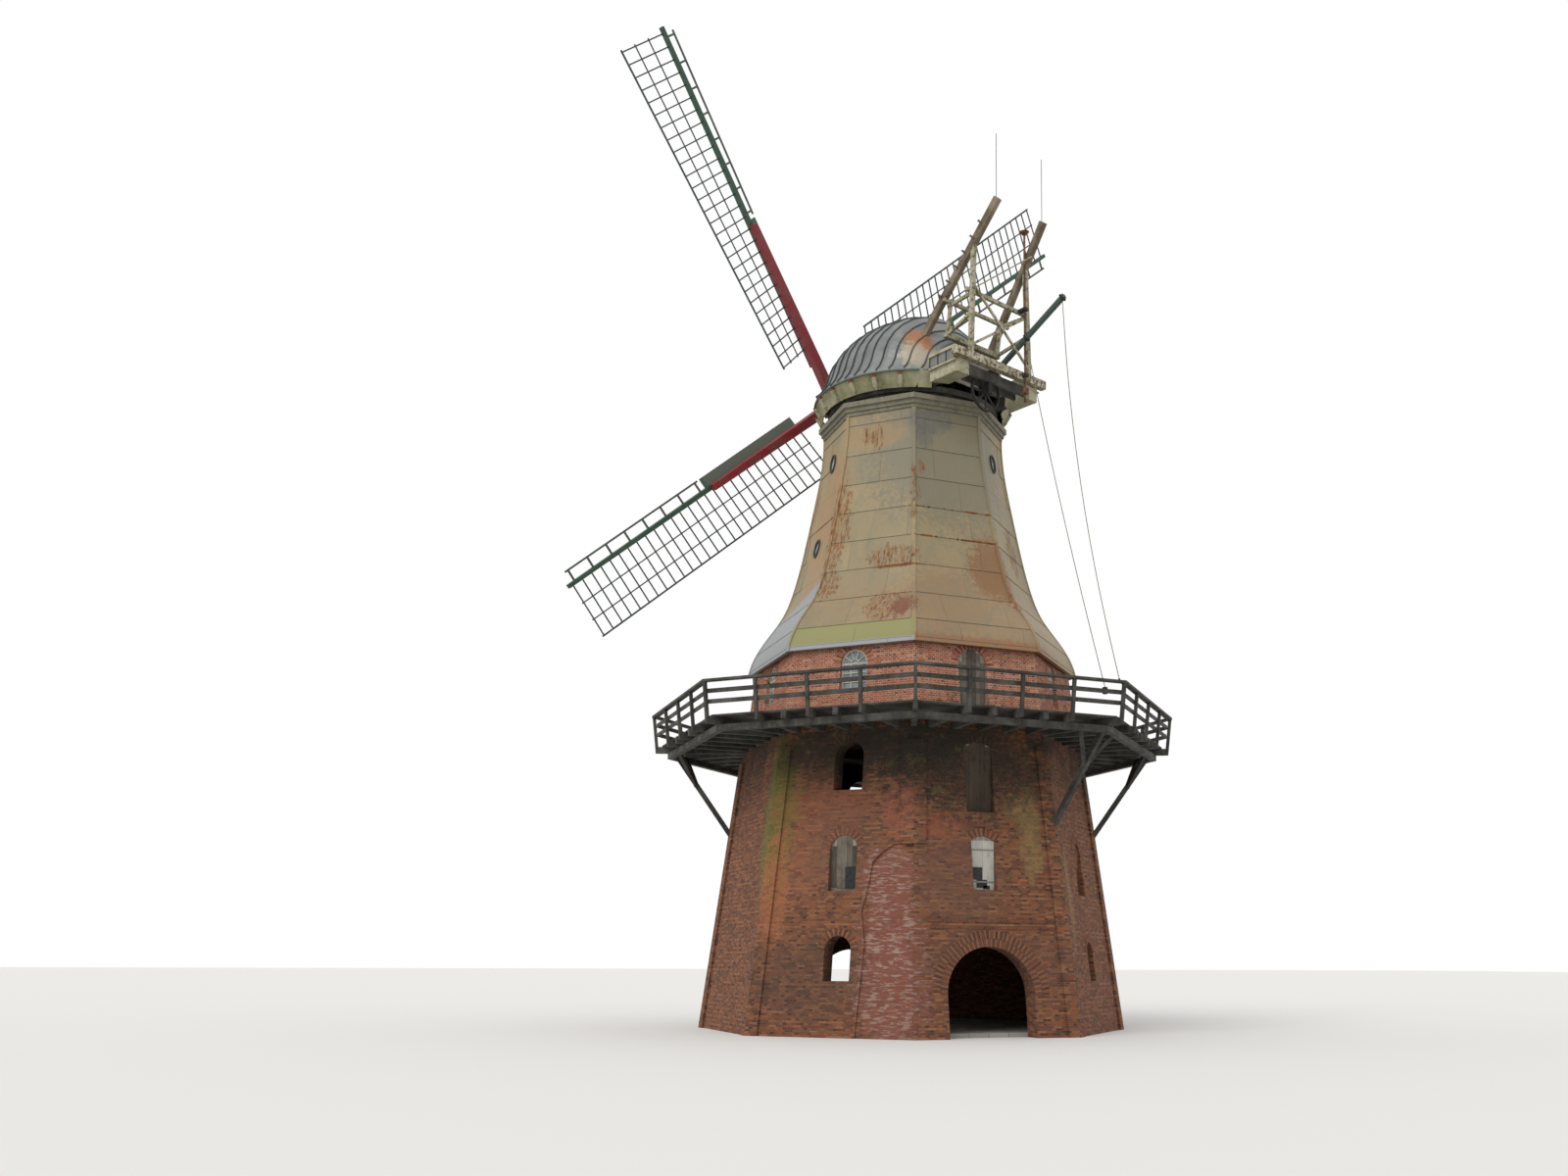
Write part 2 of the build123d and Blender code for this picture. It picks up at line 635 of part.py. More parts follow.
brackets = []
for i in range(9):
    for sign in (-1, 1):
        angle = sign * (10 + 15 * i)
        corbel = make_face(Polyline((2880, 19205), (3090, 19570), (3147, 19527), (2950, 19185), close=True))
        block = extrude(section_plane(angle) * corbel, amount=38, both=True)
        brackets.append(biggest(block - soffit))
save([at_cap(b) for b in brackets], "eaves_brackets")

cap_ring = Pos(0, 0, CURB_TOP_Z + TURN_GAP + 91) * Cylinder(2720, 182)
cap_ring -= Pos(0, 0, CURB_TOP_Z) * Cylinder(CAP_RING_IN, 900)
save(at_cap(cap_ring), "cap_ring")

# Two long beams on the ring carry the whole cap; cross beams tie them.
beam_mid = (BEAM_Z0 + BEAM_Z1) / 2
TAIL_X = -3700.0
sheers = []
for y in (-SHEER_Y, SHEER_Y):
    sheers.append(Pos((2150 + TAIL_X) / 2, y, beam_mid) * Box(2150 - TAIL_X, SHEER_WIDE, SHEER_DEEP))
cross = []
for x in (shaft_point(NECK_BACK)[0], 300, shaft_point(TAIL_BACK)[0]):
    cross.append(Pos(x, 0, beam_mid) * Box(300, 2 * SHEER_Y - SHEER_WIDE, SHEER_DEEP))
save([at_cap(b) for b in sheers], "cap_tail_beams")

# Boarded boxes around the beam ends behind the cap, with a moulded foot.
CASE_IN = SHEER_Y - SHEER_WIDE / 2 - 40
CASE_OUT = SHEER_Y + SHEER_WIDE / 2 + 120
CASE_FRONT_X = -2500.0
CASE_END = 60.0
CASE_TOP_Z = 20010.0
CASE_STEP_Z = 19590.0
CASE_FOOT_Z = 19250.0
CASE_LIP = 45.0
CASE_BOARD = 30.0
whole_roof = roof_block(0)
rim_mid = (CAP_RIM_Z + CASE_FOOT_Z) / 2
under_rim = Pos(0, 0, rim_mid - 50) * Cylinder(CAP_RIM_R, CAP_RIM_Z - CASE_FOOT_Z + 100)
case_x = (CASE_FRONT_X + TAIL_X - CASE_END) / 2
case_run = CASE_FRONT_X - TAIL_X + CASE_END
hollow_x = (CASE_FRONT_X + 100 + TAIL_X) / 2
hollow_run = CASE_FRONT_X + 100 - TAIL_X
cases = []
for sign in (-1, 1):
    y = sign * (CASE_IN + CASE_OUT) / 2
    wide = CASE_OUT - CASE_IN
    case = Pos(case_x, y, (CASE_TOP_Z + CASE_STEP_Z) / 2) * Box(case_run, wide, CASE_TOP_Z - CASE_STEP_Z)
    case += Pos(case_x, y, (CASE_STEP_Z + CASE_FOOT_Z) / 2) * Box(
        case_run, wide + 2 * CASE_LIP, CASE_STEP_Z - CASE_FOOT_Z)
    case -= Pos(hollow_x, sign * SHEER_Y, beam_mid) * Box(
        hollow_run + 2 * FIT, SHEER_WIDE + 2 * FIT, SHEER_DEEP + 2 * FIT)
    case -= Pos(hollow_x, y, CASE_TOP_Z - 190) * Box(hollow_run, wide - 2 * CASE_BOARD, 320)
    case -= whole_roof + under_rim
    cases.append(biggest(case))
save([at_cap(c) for c in cases], "tail_casings")

# Two ties between the casings hold the winding wheel.
WHEEL_X = -3480.0
HANGER_OUT = 190.0
for x in (WHEEL_X - HANGER_OUT, WHEEL_X + HANGER_OUT):
    cross.append(Pos(x, 0, beam_mid) * Box(100, 2 * CASE_IN - 90, SHEER_DEEP))
save([at_cap(b) for b in cross], "cap_cross_beams")

REAR_WIDE = 200.0
REAR_DEEP = 250.0
REAR_Z = 19800.0
rear_x = TAIL_X - CASE_END - REAR_WIDE / 2
rear_top = REAR_Z + REAR_DEEP / 2
rear_beam = Pos(rear_x, 0, REAR_Z) * Box(REAR_WIDE, 3900, REAR_DEEP)
save(at_cap(rear_beam), "tail_cross_beam")

# Fan stage: the two long fan beams, two posts, rails and crossed braces; the fan itself is gone.
FAN_FOOT = (-1725, 1409, 20700)
FAN_HEAD = (-4731, 1003, 24450)
FAN_WIDE = 170.0
FAN_DEEP = 210.0


def fan_beam(sign):
    """Long raking beam from the cap roof to the missing fan."""
    foot = (FAN_FOOT[0], sign * FAN_FOOT[1], FAN_FOOT[2])
    head = (FAN_HEAD[0], sign * FAN_HEAD[1], FAN_HEAD[2])
    return box_between(foot, head, FAN_WIDE, FAN_DEEP)


def fan_y(x):
    """Sideways place of the fan beams at x."""
    share = (x - FAN_FOOT[0]) / (FAN_HEAD[0] - FAN_FOOT[0])
    return FAN_FOOT[1] + (FAN_HEAD[1] - FAN_FOOT[1]) * share


def fan_z(x):
    """Height of the fan beam centre line at x."""
    share = (x - FAN_FOOT[0]) / (FAN_HEAD[0] - FAN_FOOT[0])
    return FAN_FOOT[2] + (FAN_HEAD[2] - FAN_FOOT[2]) * share


fans = [fan_beam(s) - whole_roof for s in (-1, 1)]
save([at_cap(biggest(f)) for f in fans], "fan_beams")

# The posts stand on the rear beam and lean in toward the fan beams.
POST = 130.0
POST_FOOT_Y = 1270.0
post_x = rear_x
post_z = rear_top
stage_posts = []
for sign in (-1, 1):
    foot = (post_x, sign * POST_FOOT_Y, post_z - 200)
    head = (post_x, sign * fan_y(post_x), fan_z(post_x) + 200)
    post = box_between(foot, head, POST, POST, up=(1, 0, 0)) - fan_beam(sign)
    post -= Pos(post_x, 0, post_z - 500) * Box(400, 4000, 1000)
    stage_posts.append(post.solids().sort_by(Axis.Z)[0])
save([at_cap(p) for p in stage_posts], "stage_posts")


def post_y(z):
    """Sideways place of the stage posts at height z."""
    share = (z - post_z + 200) / (fan_z(post_x) + 400 - post_z)
    return POST_FOOT_Y + (fan_y(post_x) - POST_FOOT_Y) * share


# A beam across the back edge of the roof carries two short posts and a cross rail.
SILL_X = CAP_BACK_X - FIT - 75
SILL_Z = 20895.0
SHORT_Y = 1090.0
SHORT_POST = 90.0
RAIL_Z = 21900.0
RAIL_WIDE = 90.0
CROSS_X = -2870.0
CROSS_Z = 21860.0
UPPER_Z = 21790.0
LOWER_Z = 21170.0
stage = [Pos(post_x + POST / 2 + RAIL_WIDE / 2, 0, RAIL_Z) * Box(RAIL_WIDE, 2680, 110)]
sill = Pos(SILL_X, 0, SILL_Z) * Box(150, 2 * SHORT_Y + 160, 150)
cross_rail = Pos(CROSS_X, 0, CROSS_Z) * Box(RAIL_WIDE, 2840, 100) - fan_beam(1) - fan_beam(-1)
stage.append(sill)
stage.append(biggest(cross_rail))
for sign in (-1, 1):
    y = sign * SHORT_Y
    start = (SILL_X, y, SILL_Z - 100)
    end = (CROSS_X, y, CROSS_Z + 100)
    short = box_between(start, end, SHORT_POST, SHORT_POST, up=(1, 0, 0))
    stage.append(biggest(short - sill - cross_rail))
    start = (CROSS_X - RAIL_WIDE / 2, y, UPPER_Z)
    upper = box_between(start, (post_x, sign * post_y(UPPER_Z), UPPER_Z), 80, 100)
    stage.append(biggest(upper - stage_posts[0] - stage_posts[1] - short - stage[0]))
    start = (SILL_X - 75, y, SILL_Z + 20)
    lower = box_between(start, (post_x, sign * post_y(LOWER_Z), LOWER_Z), 80, 90)
    stage.append(biggest(lower - stage_posts[0] - stage_posts[1] - short - sill))
save([at_cap(s) for s in stage], "stage_rails")

BRACE_WIDE = 80.0
BRACE_DEEP = 44.0
TIE = 40.0
braces = []
for dx, z_left, z_right in ((-BRACE_DEEP / 2, 22050, 20110), (BRACE_DEEP / 2, 20150, 21780)):
    start = (post_x + dx, post_y(z_left), z_left)
    end = (post_x + dx, -post_y(z_right), z_right)
    bar = box_between(start, end, BRACE_WIDE, BRACE_DEEP, up=(1, 0, 0))
    braces.append(biggest(bar - stage_posts[0] - stage_posts[1]))
tie_x = post_x - POST / 2 - TIE / 2
tie = box_between((tie_x, post_y(21900), 21900), (-4170, -fan_y(-4148), 23600), TIE, TIE, up=(1, 0, 0))
braces.append(biggest(tie - fan_beam(-1)))
save([at_cap(b) for b in braces], "stage_braces")

DRIVE_X = rear_x - 160
DRIVE_Y = -930.0
DRIVE_R = 32.0
DRIVE_LOW_Z = 18950.0
DRIVE_HIGH_Z = 24450.0
drive_mid = (DRIVE_LOW_Z + DRIVE_HIGH_Z) / 2
drive = Pos(DRIVE_X, DRIVE_Y, drive_mid) * Cylinder(DRIVE_R, DRIVE_HIGH_Z - DRIVE_LOW_Z)
shaft_way = Pos(DRIVE_X, DRIVE_Y, drive_mid) * Cylinder(DRIVE_R + AXLE_FIT, DRIVE_HIGH_Z - DRIVE_LOW_Z + 500)
crown_gear = Pos(DRIVE_X, DRIVE_Y, DRIVE_HIGH_Z - 100) * Cone(70, 150, 90) - shaft_way
pinion = Pos(DRIVE_X, DRIVE_Y, 19300) * Cylinder(110, 160) - shaft_way
collar = Pos(DRIVE_X, DRIVE_Y, 19675) * Cylinder(50, 30) - shaft_way
save([at_cap(d) for d in (drive, pinion, collar, crown_gear)], "fan_drive_shaft")
bearing_back = DRIVE_X - 80
bearing = Pos((rear_x - 100 + bearing_back) / 2, DRIVE_Y, 19800) * Box(rear_x - 100 - bearing_back, 160, 100)
arm_end = (bearing_back, DRIVE_Y, RAIL_Z)
bearing_arm = box_between((post_x + POST / 2, DRIVE_Y, RAIL_Z), arm_end, 160, 90)
arms = [bearing - shaft_way, bearing_arm - shaft_way]
save([at_cap(a) for a in arms], "drive_shaft_bearings")

# Spoked winding wheel under the tail, on a short axle in a hanger.
WHEEL_Y = 250.0
WHEEL_Z = 19100.0
WHEEL_R = 600.0
AXLE_R = 40.0
rim = Cylinder(WHEEL_R, 70) - Cylinder(WHEEL_R - 60, 90)
wheel = rim + Cylinder(110, 140)
for i in range(4):
    wheel += Box(2 * WHEEL_R - 40, 50, 36).rotate(Axis.Z, 45 * i)
wheel -= Cylinder(AXLE_R + AXLE_FIT, 400)
wheel = Pos(WHEEL_X, WHEEL_Y, WHEEL_Z) * wheel.rotate(Axis.Y, 90)
save(at_cap(wheel), "winding_wheel")
hanger = Pos(WHEEL_X, WHEEL_Y, WHEEL_Z) * Cylinder(AXLE_R, 2 * HANGER_OUT).rotate(Axis.Y, 90)
for x in (WHEEL_X - HANGER_OUT, WHEEL_X + HANGER_OUT):
    hanger += Pos(x, WHEEL_Y, (WHEEL_Z - 90 + BEAM_Z0) / 2) * Box(60, 140, BEAM_Z0 - WHEEL_Z + 90)
save(at_cap(hanger), "winding_wheel_hanger")

# Brake pole: a long lever out of the back of the cap, on a pin between two cheeks.
pole = box_between(POLE_IN, POLE_OUT, POLE_SIZE, POLE_SIZE)
pole -= Pos(*POLE_PIN) * Cylinder(PIN_R + AXLE_FIT, 400).rotate(Axis.X, 90)
save(at_cap(pole), "brake_pole")
bracket = Pos(*POLE_PIN) * Cylinder(PIN_R, 2 * CHEEK_Y).rotate(Axis.X, 90)
for sign in (-1, 1):
    y = POLE_Y + sign * CHEEK_Y
    bracket += Pos((GABLE_BACK_X - 2940) / 2, y, POLE_PIN[2] - 40) * Box(
        GABLE_BACK_X + 2940, CHEEK, CHEEK_DEEP)
    bracket += Pos(GABLE_BACK_X - 10, y + sign * 40, POLE_PIN[2] - 40) * Box(20, 120, CHEEK_DEEP)
save(at_cap(bracket), "brake_bracket")

# Two thin ropes hang from iron bands on the pole; one ends in a knot, the other in a weight.
ROPE_R = 12.0
BAND = 24.0
LUG = 50.0
TIP_BAND_X = -5640.0
MID_BAND_X = -4200.0
ROPE_END_Z = 9950.0
ROPE_ENDS = [(TIP_BAND_X, (-7350, -1068, ROPE_END_Z), 330.0),
             (MID_BAND_X, (-6276, -1774, ROPE_END_Z), 100.0)]
ROPE_RUNS = 8


def rope_points(band_x, end, bow):
    """Points of a rope from the underside of its band to its lower end, bowed toward the cap."""
    top = Vector(*pole_point(band_x)) - Vector(0, 0, POLE_SIZE / 2 + BAND + 20)
    foot = Vector(*end)
    pts = []
    for i in range(ROPE_RUNS + 1):
        t = i / ROPE_RUNS
        pts.append(top + (foot - top) * t + Vector(4 * bow * t * (1 - t), 0, 0))
    return pts


def rope_path(pts):
    """Straight runs joined by the widest arcs that fit."""
    radius = math.inf
    for a, b, c in zip(pts, pts[1:], pts[2:]):
        half_turn = math.radians((b - a).get_angle(c - b)) / 2
        radius = min(radius, 0.45 * min((b - a).length, (c - b).length) / math.tan(half_turn))
    return FilletPolyline(*pts, radius=radius)


ropes = []
fittings = []
feet = []
slant = (Vector(*POLE_OUT) - Vector(*POLE_IN)).normalized()
for band_x, end, bow in ROPE_ENDS:
    pts = rope_points(band_x, end, bow)
    path = rope_path(pts)
    ropes.append(sweep(Plane(origin=path @ 0, z_dir=path % 0) * Circle(ROPE_R), path=path))
    mid = Vector(*pole_point(band_x))
    size = POLE_SIZE + 2 * BAND
    band = box_between(mid - slant * 30, mid + slant * 30, size, size)
    lean = path % 0
    lug_z = pts[0].Z + FIT + ROPE_R * math.hypot(lean.X, lean.Y)
    band += Pos(pts[0].X, pts[0].Y, lug_z + LUG / 2) * Cylinder(22, LUG)
    feet.append((pts[-1], path % 1))
    fittings.append(biggest(band - box_between(POLE_IN, POLE_OUT, POLE_SIZE, POLE_SIZE)))
KNOT_R = 28.0
WEIGHT = (110.0, 110.0, 200.0)
foot, lean = feet[0]
knot = foot + lean * (KNOT_R + FIT)
fittings.append(Pos(knot.X, knot.Y, knot.Z) * Sphere(KNOT_R))
foot, lean = feet[1]
weight_z = foot.Z - FIT - ROPE_R * math.hypot(lean.X, lean.Y)
fittings.append(Pos(foot.X, foot.Y, weight_z - WEIGHT[2] / 2) * Box(*WEIGHT))
save([at_cap(r) for r in ropes], "brake_ropes")
save([at_cap(f) for f in fittings], "rope_fittings")

rods = []
for sign in (-1, 1):
    base = Vector(FAN_HEAD[0] + 60, sign * FAN_HEAD[1], FAN_HEAD[2] - 60)
    rod = Pos(base.X, base.Y, base.Z + 1000) * Cylinder(9, 2200)
    rods.append(rod - fan_beam(sign))
rods = [r.solids().sort_by(Axis.Z)[-1] for r in rods]
save([at_cap(r) for r in rods], "lightning_rods")


# Sails: windshaft, poll end, two stocks, four twisted lattices.
def rotor_plane():
    """Frame of the sails: x along the upright sail, y to the left hand, z back to the cap."""
    c = math.cos(math.radians(SHAFT_TILT))
    s = math.sin(math.radians(SHAFT_TILT))
    return Plane(origin=(HUB_X, 0, HUB_Z), x_dir=(-s, 0, c), z_dir=(-c, 0, -s))


def at_rotor(shape, turn=0.0):
    """Place a shape drawn in the frame of the sails, turned about the windshaft."""
    turned = shape.rotate(Axis.Z, turn)
    return at_cap(rotor_plane().from_local_coords(turned))


STOCK_W = 340.0
STOCK_T = 300.0
STOCK_TIP = 200.0


def tapered_beam(r0, r1, wide0, deep0, wide1, deep1, face, lean):
    """Timber along x with one flat face at w = face; it lies to the side of that face named by lean."""
    ends = []
    for r, wide, deep in ((r0, wide0, deep0), (r1, wide1, deep1)):
        plane = Plane(origin=(r, 0, face + lean * deep / 2), x_dir=(0, 1, 0), z_dir=(1, 0, 0))
        ends.append(plane * Rectangle(wide, deep))
    return loft(ends, ruled=True)


def stock(w):
    """Long timber through the poll end that carries two opposite sails."""
    out = tapered_beam(0, STOCK_HALF, STOCK_W, STOCK_T, STOCK_TIP, STOCK_TIP, w - STOCK_T / 2, 1)
    return out + out.rotate(Axis.Z, 180)


STOCK_OFF = 160.0
stocks_local = [stock(-STOCK_OFF), stock(STOCK_OFF).rotate(Axis.Z, 90)]
stocks = [at_rotor(s, SAIL_TURN) for s in stocks_local]
save(stocks, "sail_stocks")

poll = Box(820, 820, 900)
poll -= stocks_local[0] + stocks_local[1]
save(at_rotor(poll, SAIL_TURN), "poll_end")

SHAFT_BACK = 5700.0
shaft = Pos(0, 0, 450 + (SHAFT_BACK - 450) / 2) * Cylinder(SHAFT_R, SHAFT_BACK - 450)
save(at_rotor(shaft), "windshaft")

WHIP_IN = 1300.0


def sail_point(r, v):
    """Point of the twisted sail surface at distance r from the hub and v from the whip."""
    share = (r - LATTICE_IN) / (LATTICE_OUT - LATTICE_IN)
    heel = math.radians(TWIST_HEEL)
    tip = math.radians(TWIST_TIP)
    across = math.cos(heel) + (math.cos(tip) - math.cos(heel)) * share
    back = math.sin(heel) + (math.sin(tip) - math.sin(heel)) * share
    return (r, v * across, v * back)


def sail_lath(v, r0, r1, wide, deep):
    """Straight lath along the sail, laid in its twisted surface."""
    x, y, z = sail_point((r0 + r1) / 2, 1 if v > 0 else -1)
    side = (0, -z, y) if v > 0 else (0, z, -y)
    return box_between(sail_point(r0, v), sail_point(r1, v), wide, deep, up=side)


def sail_bar(r, v0, v1, wide, deep):
    """Cross bar of the sail at distance r, square to the whip."""
    return box_between(sail_point(r, v0), sail_point(r, v1), deep, wide, up=(1, 0, 0))


WHIP_WIDE = 170.0
WHIP_ROOT = 180.0
WHIP_TIP = 120.0
WHIP_W = -STOCK_OFF - STOCK_T / 2 - WHIP_ROOT / 2

# The whip lies flat on the windward face of the stock.
stock_face = -STOCK_OFF - STOCK_T / 2
whip_local = tapered_beam(WHIP_IN, SAIL_R, WHIP_WIDE, WHIP_ROOT, WHIP_TIP, WHIP_TIP, stock_face, -1)


def beside_whip(r, thick):
    """Value of v at which a member of this thickness meets the leading side of the whip."""
    half = (WHIP_WIDE + (WHIP_TIP - WHIP_WIDE) * (r - WHIP_IN) / (SAIL_R - WHIP_IN)) / 2
    x, y, z = sail_point(r, 1)
    return -(half + FIT + thick / 2 * z / math.hypot(y, z)) / y


def sail_board(v, r0, r1, thick):
    """Thin board that winds with the twist, from the whip outward to v."""
    ends = []
    for r in (r0, r1):
        x, y, z = sail_point(r, 1)
        inner = beside_whip(r, thick)
        plane = Plane(origin=sail_point(r, (inner + v) / 2), x_dir=(0, y, z), z_dir=(1, 0, 0))
        ends.append(plane * Rectangle((inner - v) * math.hypot(y, z), thick))
    return loft(ends, ruled=True)


LADDER_FROM = 6400.0
LADDER_RUNGS = 8
LEAD_WIDE = 420.0
LATH = 40.0
bars = [LATTICE_IN + (LATTICE_OUT - LATTICE_IN) * i / (SAIL_BARS - 1) for i in range(SAIL_BARS)]
grid = [sail_lath(LATTICE_WIDE, LATTICE_IN - 60, LATTICE_OUT + 60, 55, 36)]
for share in (0.36, 0.68):
    grid.append(sail_lath(LATTICE_WIDE * share, LATTICE_IN - 60, LATTICE_OUT + 60, LATH, 24))
grid += [sail_bar(r, 20, LATTICE_WIDE + 15, LATH, 30) for r in bars]
lattice = Pos(0, 0, WHIP_W) * grid[0].fuse(*grid[1:]) - whip_local
lattice = biggest(lattice)

board = Pos(0, 0, WHIP_W) * sail_board(-LEAD_WIDE, LATTICE_IN, LADDER_FROM - 100, 24)
ladder = [sail_lath(-LEAD_WIDE + 20, LADDER_FROM, LATTICE_OUT, 60, 36)]
for i in range(LADDER_RUNGS):
    r = LADDER_FROM + 120 + (LATTICE_OUT - LADDER_FROM - 240) * i / (LADDER_RUNGS - 1)
    ladder.append(sail_bar(r, beside_whip(r, 44), -LEAD_WIDE, 60, 44))
ladder = Pos(0, 0, WHIP_W) * ladder[0].fuse(*ladder[1:])

lattices = []
whips = []
boards = []
ladders = []
for k in range(4):
    lift = Pos(0, 0, 0 if k % 2 == 0 else 2 * STOCK_OFF)
    turn = SAIL_TURN + 90 * k
    lattices.append(at_rotor(lift * lattice, turn))
    whips.append(at_rotor(lift * whip_local, turn))
    boards.append(at_rotor(lift * board, turn))
    ladders.append(at_rotor(lift * ladder, turn))
save(lattices, "sail_lattices")
save(whips, "sail_whips")
save(boards, "leading_boards")
save(ladders, "leading_ladders")

# Bearings that hold the windshaft: neck under the front gable, tail at the back.
bearings = []
for along, wide in ((NECK_BACK, 700), (TAIL_BACK, 620)):
    p = shaft_point(along)
    block = Pos(p[0], 0, (BEAM_Z1 + p[2]) / 2) * Box(320, wide, p[2] - BEAM_Z1)
    bore = extrude(shaft_plane(SHAFT_BACK + 200) * Circle(SHAFT_R + AXLE_FIT), amount=SHAFT_BACK)
    bearings.append(block - bore)
save([at_cap(b) for b in bearings], "shaft_bearings")
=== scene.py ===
import bpy
import bmesh
from math import asin, atan, atan2, cos, pi, radians, sin, tan
from mathutils import Matrix, Vector, noise as fieldNoise
from mathutils.bvhtree import BVHTree


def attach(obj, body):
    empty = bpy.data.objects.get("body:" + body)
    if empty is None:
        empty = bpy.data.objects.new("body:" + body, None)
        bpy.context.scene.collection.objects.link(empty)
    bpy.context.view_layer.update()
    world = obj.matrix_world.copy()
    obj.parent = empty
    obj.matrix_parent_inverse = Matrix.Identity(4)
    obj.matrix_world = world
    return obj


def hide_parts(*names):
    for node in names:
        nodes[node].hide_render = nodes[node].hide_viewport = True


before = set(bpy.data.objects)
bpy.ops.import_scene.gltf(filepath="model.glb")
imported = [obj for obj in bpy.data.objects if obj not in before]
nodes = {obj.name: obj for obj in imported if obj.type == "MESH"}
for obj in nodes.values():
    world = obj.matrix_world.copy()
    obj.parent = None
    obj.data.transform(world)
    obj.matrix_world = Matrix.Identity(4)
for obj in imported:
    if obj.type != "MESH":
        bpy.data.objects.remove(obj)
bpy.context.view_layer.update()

# the place of the camera, in metres on the tower's own axes
cameraPlace = {"at": (-16.786, -39.240, 2.037), "heading": 67.87, "pitch": 6.08, "roll": 0.27}
cameraLens = {"lens": 31.64, "sensor_width": 36.0, "sensor_fit": "HORIZONTAL", "shift_x": -0.0656, "shift_y": 0.1446,
              "clip_end": 2000.0}
studio = {"worldStrength": 0.78, "seenStrength": 1.0, "sunStrength": 1.15, "sunAngle": 35.0, "sunHeading": 215.0,
          "sunHeight": 42.0, "sunColour": (1.0, 0.98, 0.95), "floorSize": 600.0, "floorColour": (0.80, 0.79, 0.77)}
capYaw = radians(109.85)


def capPoint(x, y, z):
    # from the cap's own axes to where the cap rests
    return Vector((x * cos(capYaw) - y * sin(capYaw), x * sin(capYaw) + y * cos(capYaw), z))


def setAll(thing, **values):
    for key, value in values.items():
        setattr(thing, key, value)
    return thing


def addObject(name, data):
    thing = bpy.data.objects.new(name, data)
    bpy.context.scene.collection.objects.link(thing)
    return thing


def twoSided(operation):
    return lambda self, other: reckon(operation, self, other)


class Field:
    # one output of a node; a sum of fields grows a node of its own
    __add__, __sub__, __mul__, __truediv__ = map(twoSided, ("ADD", "SUBTRACT", "MULTIPLY", "DIVIDE"))
    __mod__, __lt__, __gt__ = map(twoSided, ("FLOORED_MODULO", "LESS_THAN", "GREATER_THAN"))

    def __init__(self, node, key=0):
        self.node, self.key, self.tree = node, key, node.id_data

    def out(self, key):
        return Field(self.node, key)

    def __rsub__(self, other):
        return reckon("SUBTRACT", other, self)

    def __neg__(self):
        return reckon("MULTIPLY", self, -1.0)

    def __abs__(self):
        return reckon("ABSOLUTE", self)


def addNode(kind, values=(), tree=None, **settings):
    # values by name or in order; without a tree it goes where the fields among them are
    values = values if isinstance(values, dict) else dict(enumerate(values))
    if tree is None:
        tree = next(value.tree for value in values.values() if isinstance(value, Field))
    whole = kind.startswith(("Geometry", "Function", "NodeGroup"))
    node = setAll(tree.nodes.new(kind if whole else "ShaderNode" + kind), **settings)
    for key, value in values.items():
        socket = node.inputs[key]
        if isinstance(value, Field):
            tree.links.new(value.node.outputs[value.key], socket)
        elif value is not None:
            socket.default_value = (*value, 1) if socket.type == "RGBA" else value
    return Field(node)


def reckon(operation, *values):
    return addNode("Math", values, operation=operation)


def reckonVector(operation, *values):
    return addNode("VectorMath", values, operation=operation)


def most(first, *others):
    for other in others:
        first = reckon("MAXIMUM", first, other)
    return first


def split(vector):
    node = addNode("SeparateXYZ", (vector,))
    return node.out(0), node.out(1), node.out(2)


def point(x, y, z):
    return addNode("CombineXYZ", (x, y, z))


def turned(coords, turn):
    return addNode("Mapping", {"Vector": coords, "Rotation": (0, 0, turn)})


def noise(coords, scale, detail=4.0, roughness=0.55, stretch=None):
    if stretch:
        coords = addNode("Mapping", {"Vector": coords, "Scale": stretch})
    node = addNode("TexNoise", {"Vector": coords, "Scale": scale, "Detail": detail, "Roughness": roughness})
    return node.out("Fac")


def fade(value, low, high, toLow=0.0, toHigh=1.0):
    return addNode("MapRange", {"Value": value, "From Min": low, "From Max": high, "To Min": toLow, "To Max": toHigh},
                   interpolation_type="SMOOTHSTEP")


def ramp(value, *stops):
    field = addNode("ValToRGB", (value,))
    band = field.node.color_ramp
    while len(band.elements) < len(stops):
        band.elements.new(0.5)
    for element, (place, colour) in zip(band.elements, stops):
        element.position = place
        element.color = (*colour, 1)
    return field


def blend(share, under, over):
    return addNode("Mix", {0: share, 6: under, 7: over}, data_type="RGBA").out(2)


def stain(coords, colour, tint, look, low, high, share=1.0):
    # a tint where a noise of this look is high
    return blend(fade(noise(coords, *look), low, high, 0.0, share), colour, tint)


def bump(height, distance, strength, normal=None):
    return addNode("Bump", {"Height": height, "Distance": distance, "Strength": strength, "Normal": normal})


def toneOf(coords):
    # the tone that each brick, board or sheet carries
    return addNode("Attribute", tree=coords.tree, attribute_name="tone").out("Fac")


def facingUp(coords):
    return split(addNode("NewGeometry", tree=coords.tree).out("Normal"))[2]


def startMaterial(name):
    material = bpy.data.materials.new(name)
    material.use_nodes = True
    material.node_tree.nodes.clear()
    return material, addNode("TexCoord", tree=material.node_tree).out("Object")


def finish(material, colour, roughness, normal=None, metallic=0.0):
    shader = addNode("BsdfPrincipled", {"Base Color": colour, "Roughness": roughness, "Normal": normal,
                                        "Metallic": metallic}, material.node_tree)
    addNode("OutputMaterial", {"Surface": shader})
    return material


def setCamera():
    camera = addObject("photoCamera", setAll(bpy.data.cameras.new("photoCamera"), **cameraLens))
    camera.matrix_world = Matrix.Translation(cameraPlace["at"])
    for key, level, axis in (("heading", -90, "Z"), ("pitch", 90, "X"), ("roll", 0, "Z")):
        camera.matrix_world @= Matrix.Rotation(radians(cameraPlace[key] + level), 4, axis)
    bpy.context.scene.camera = camera


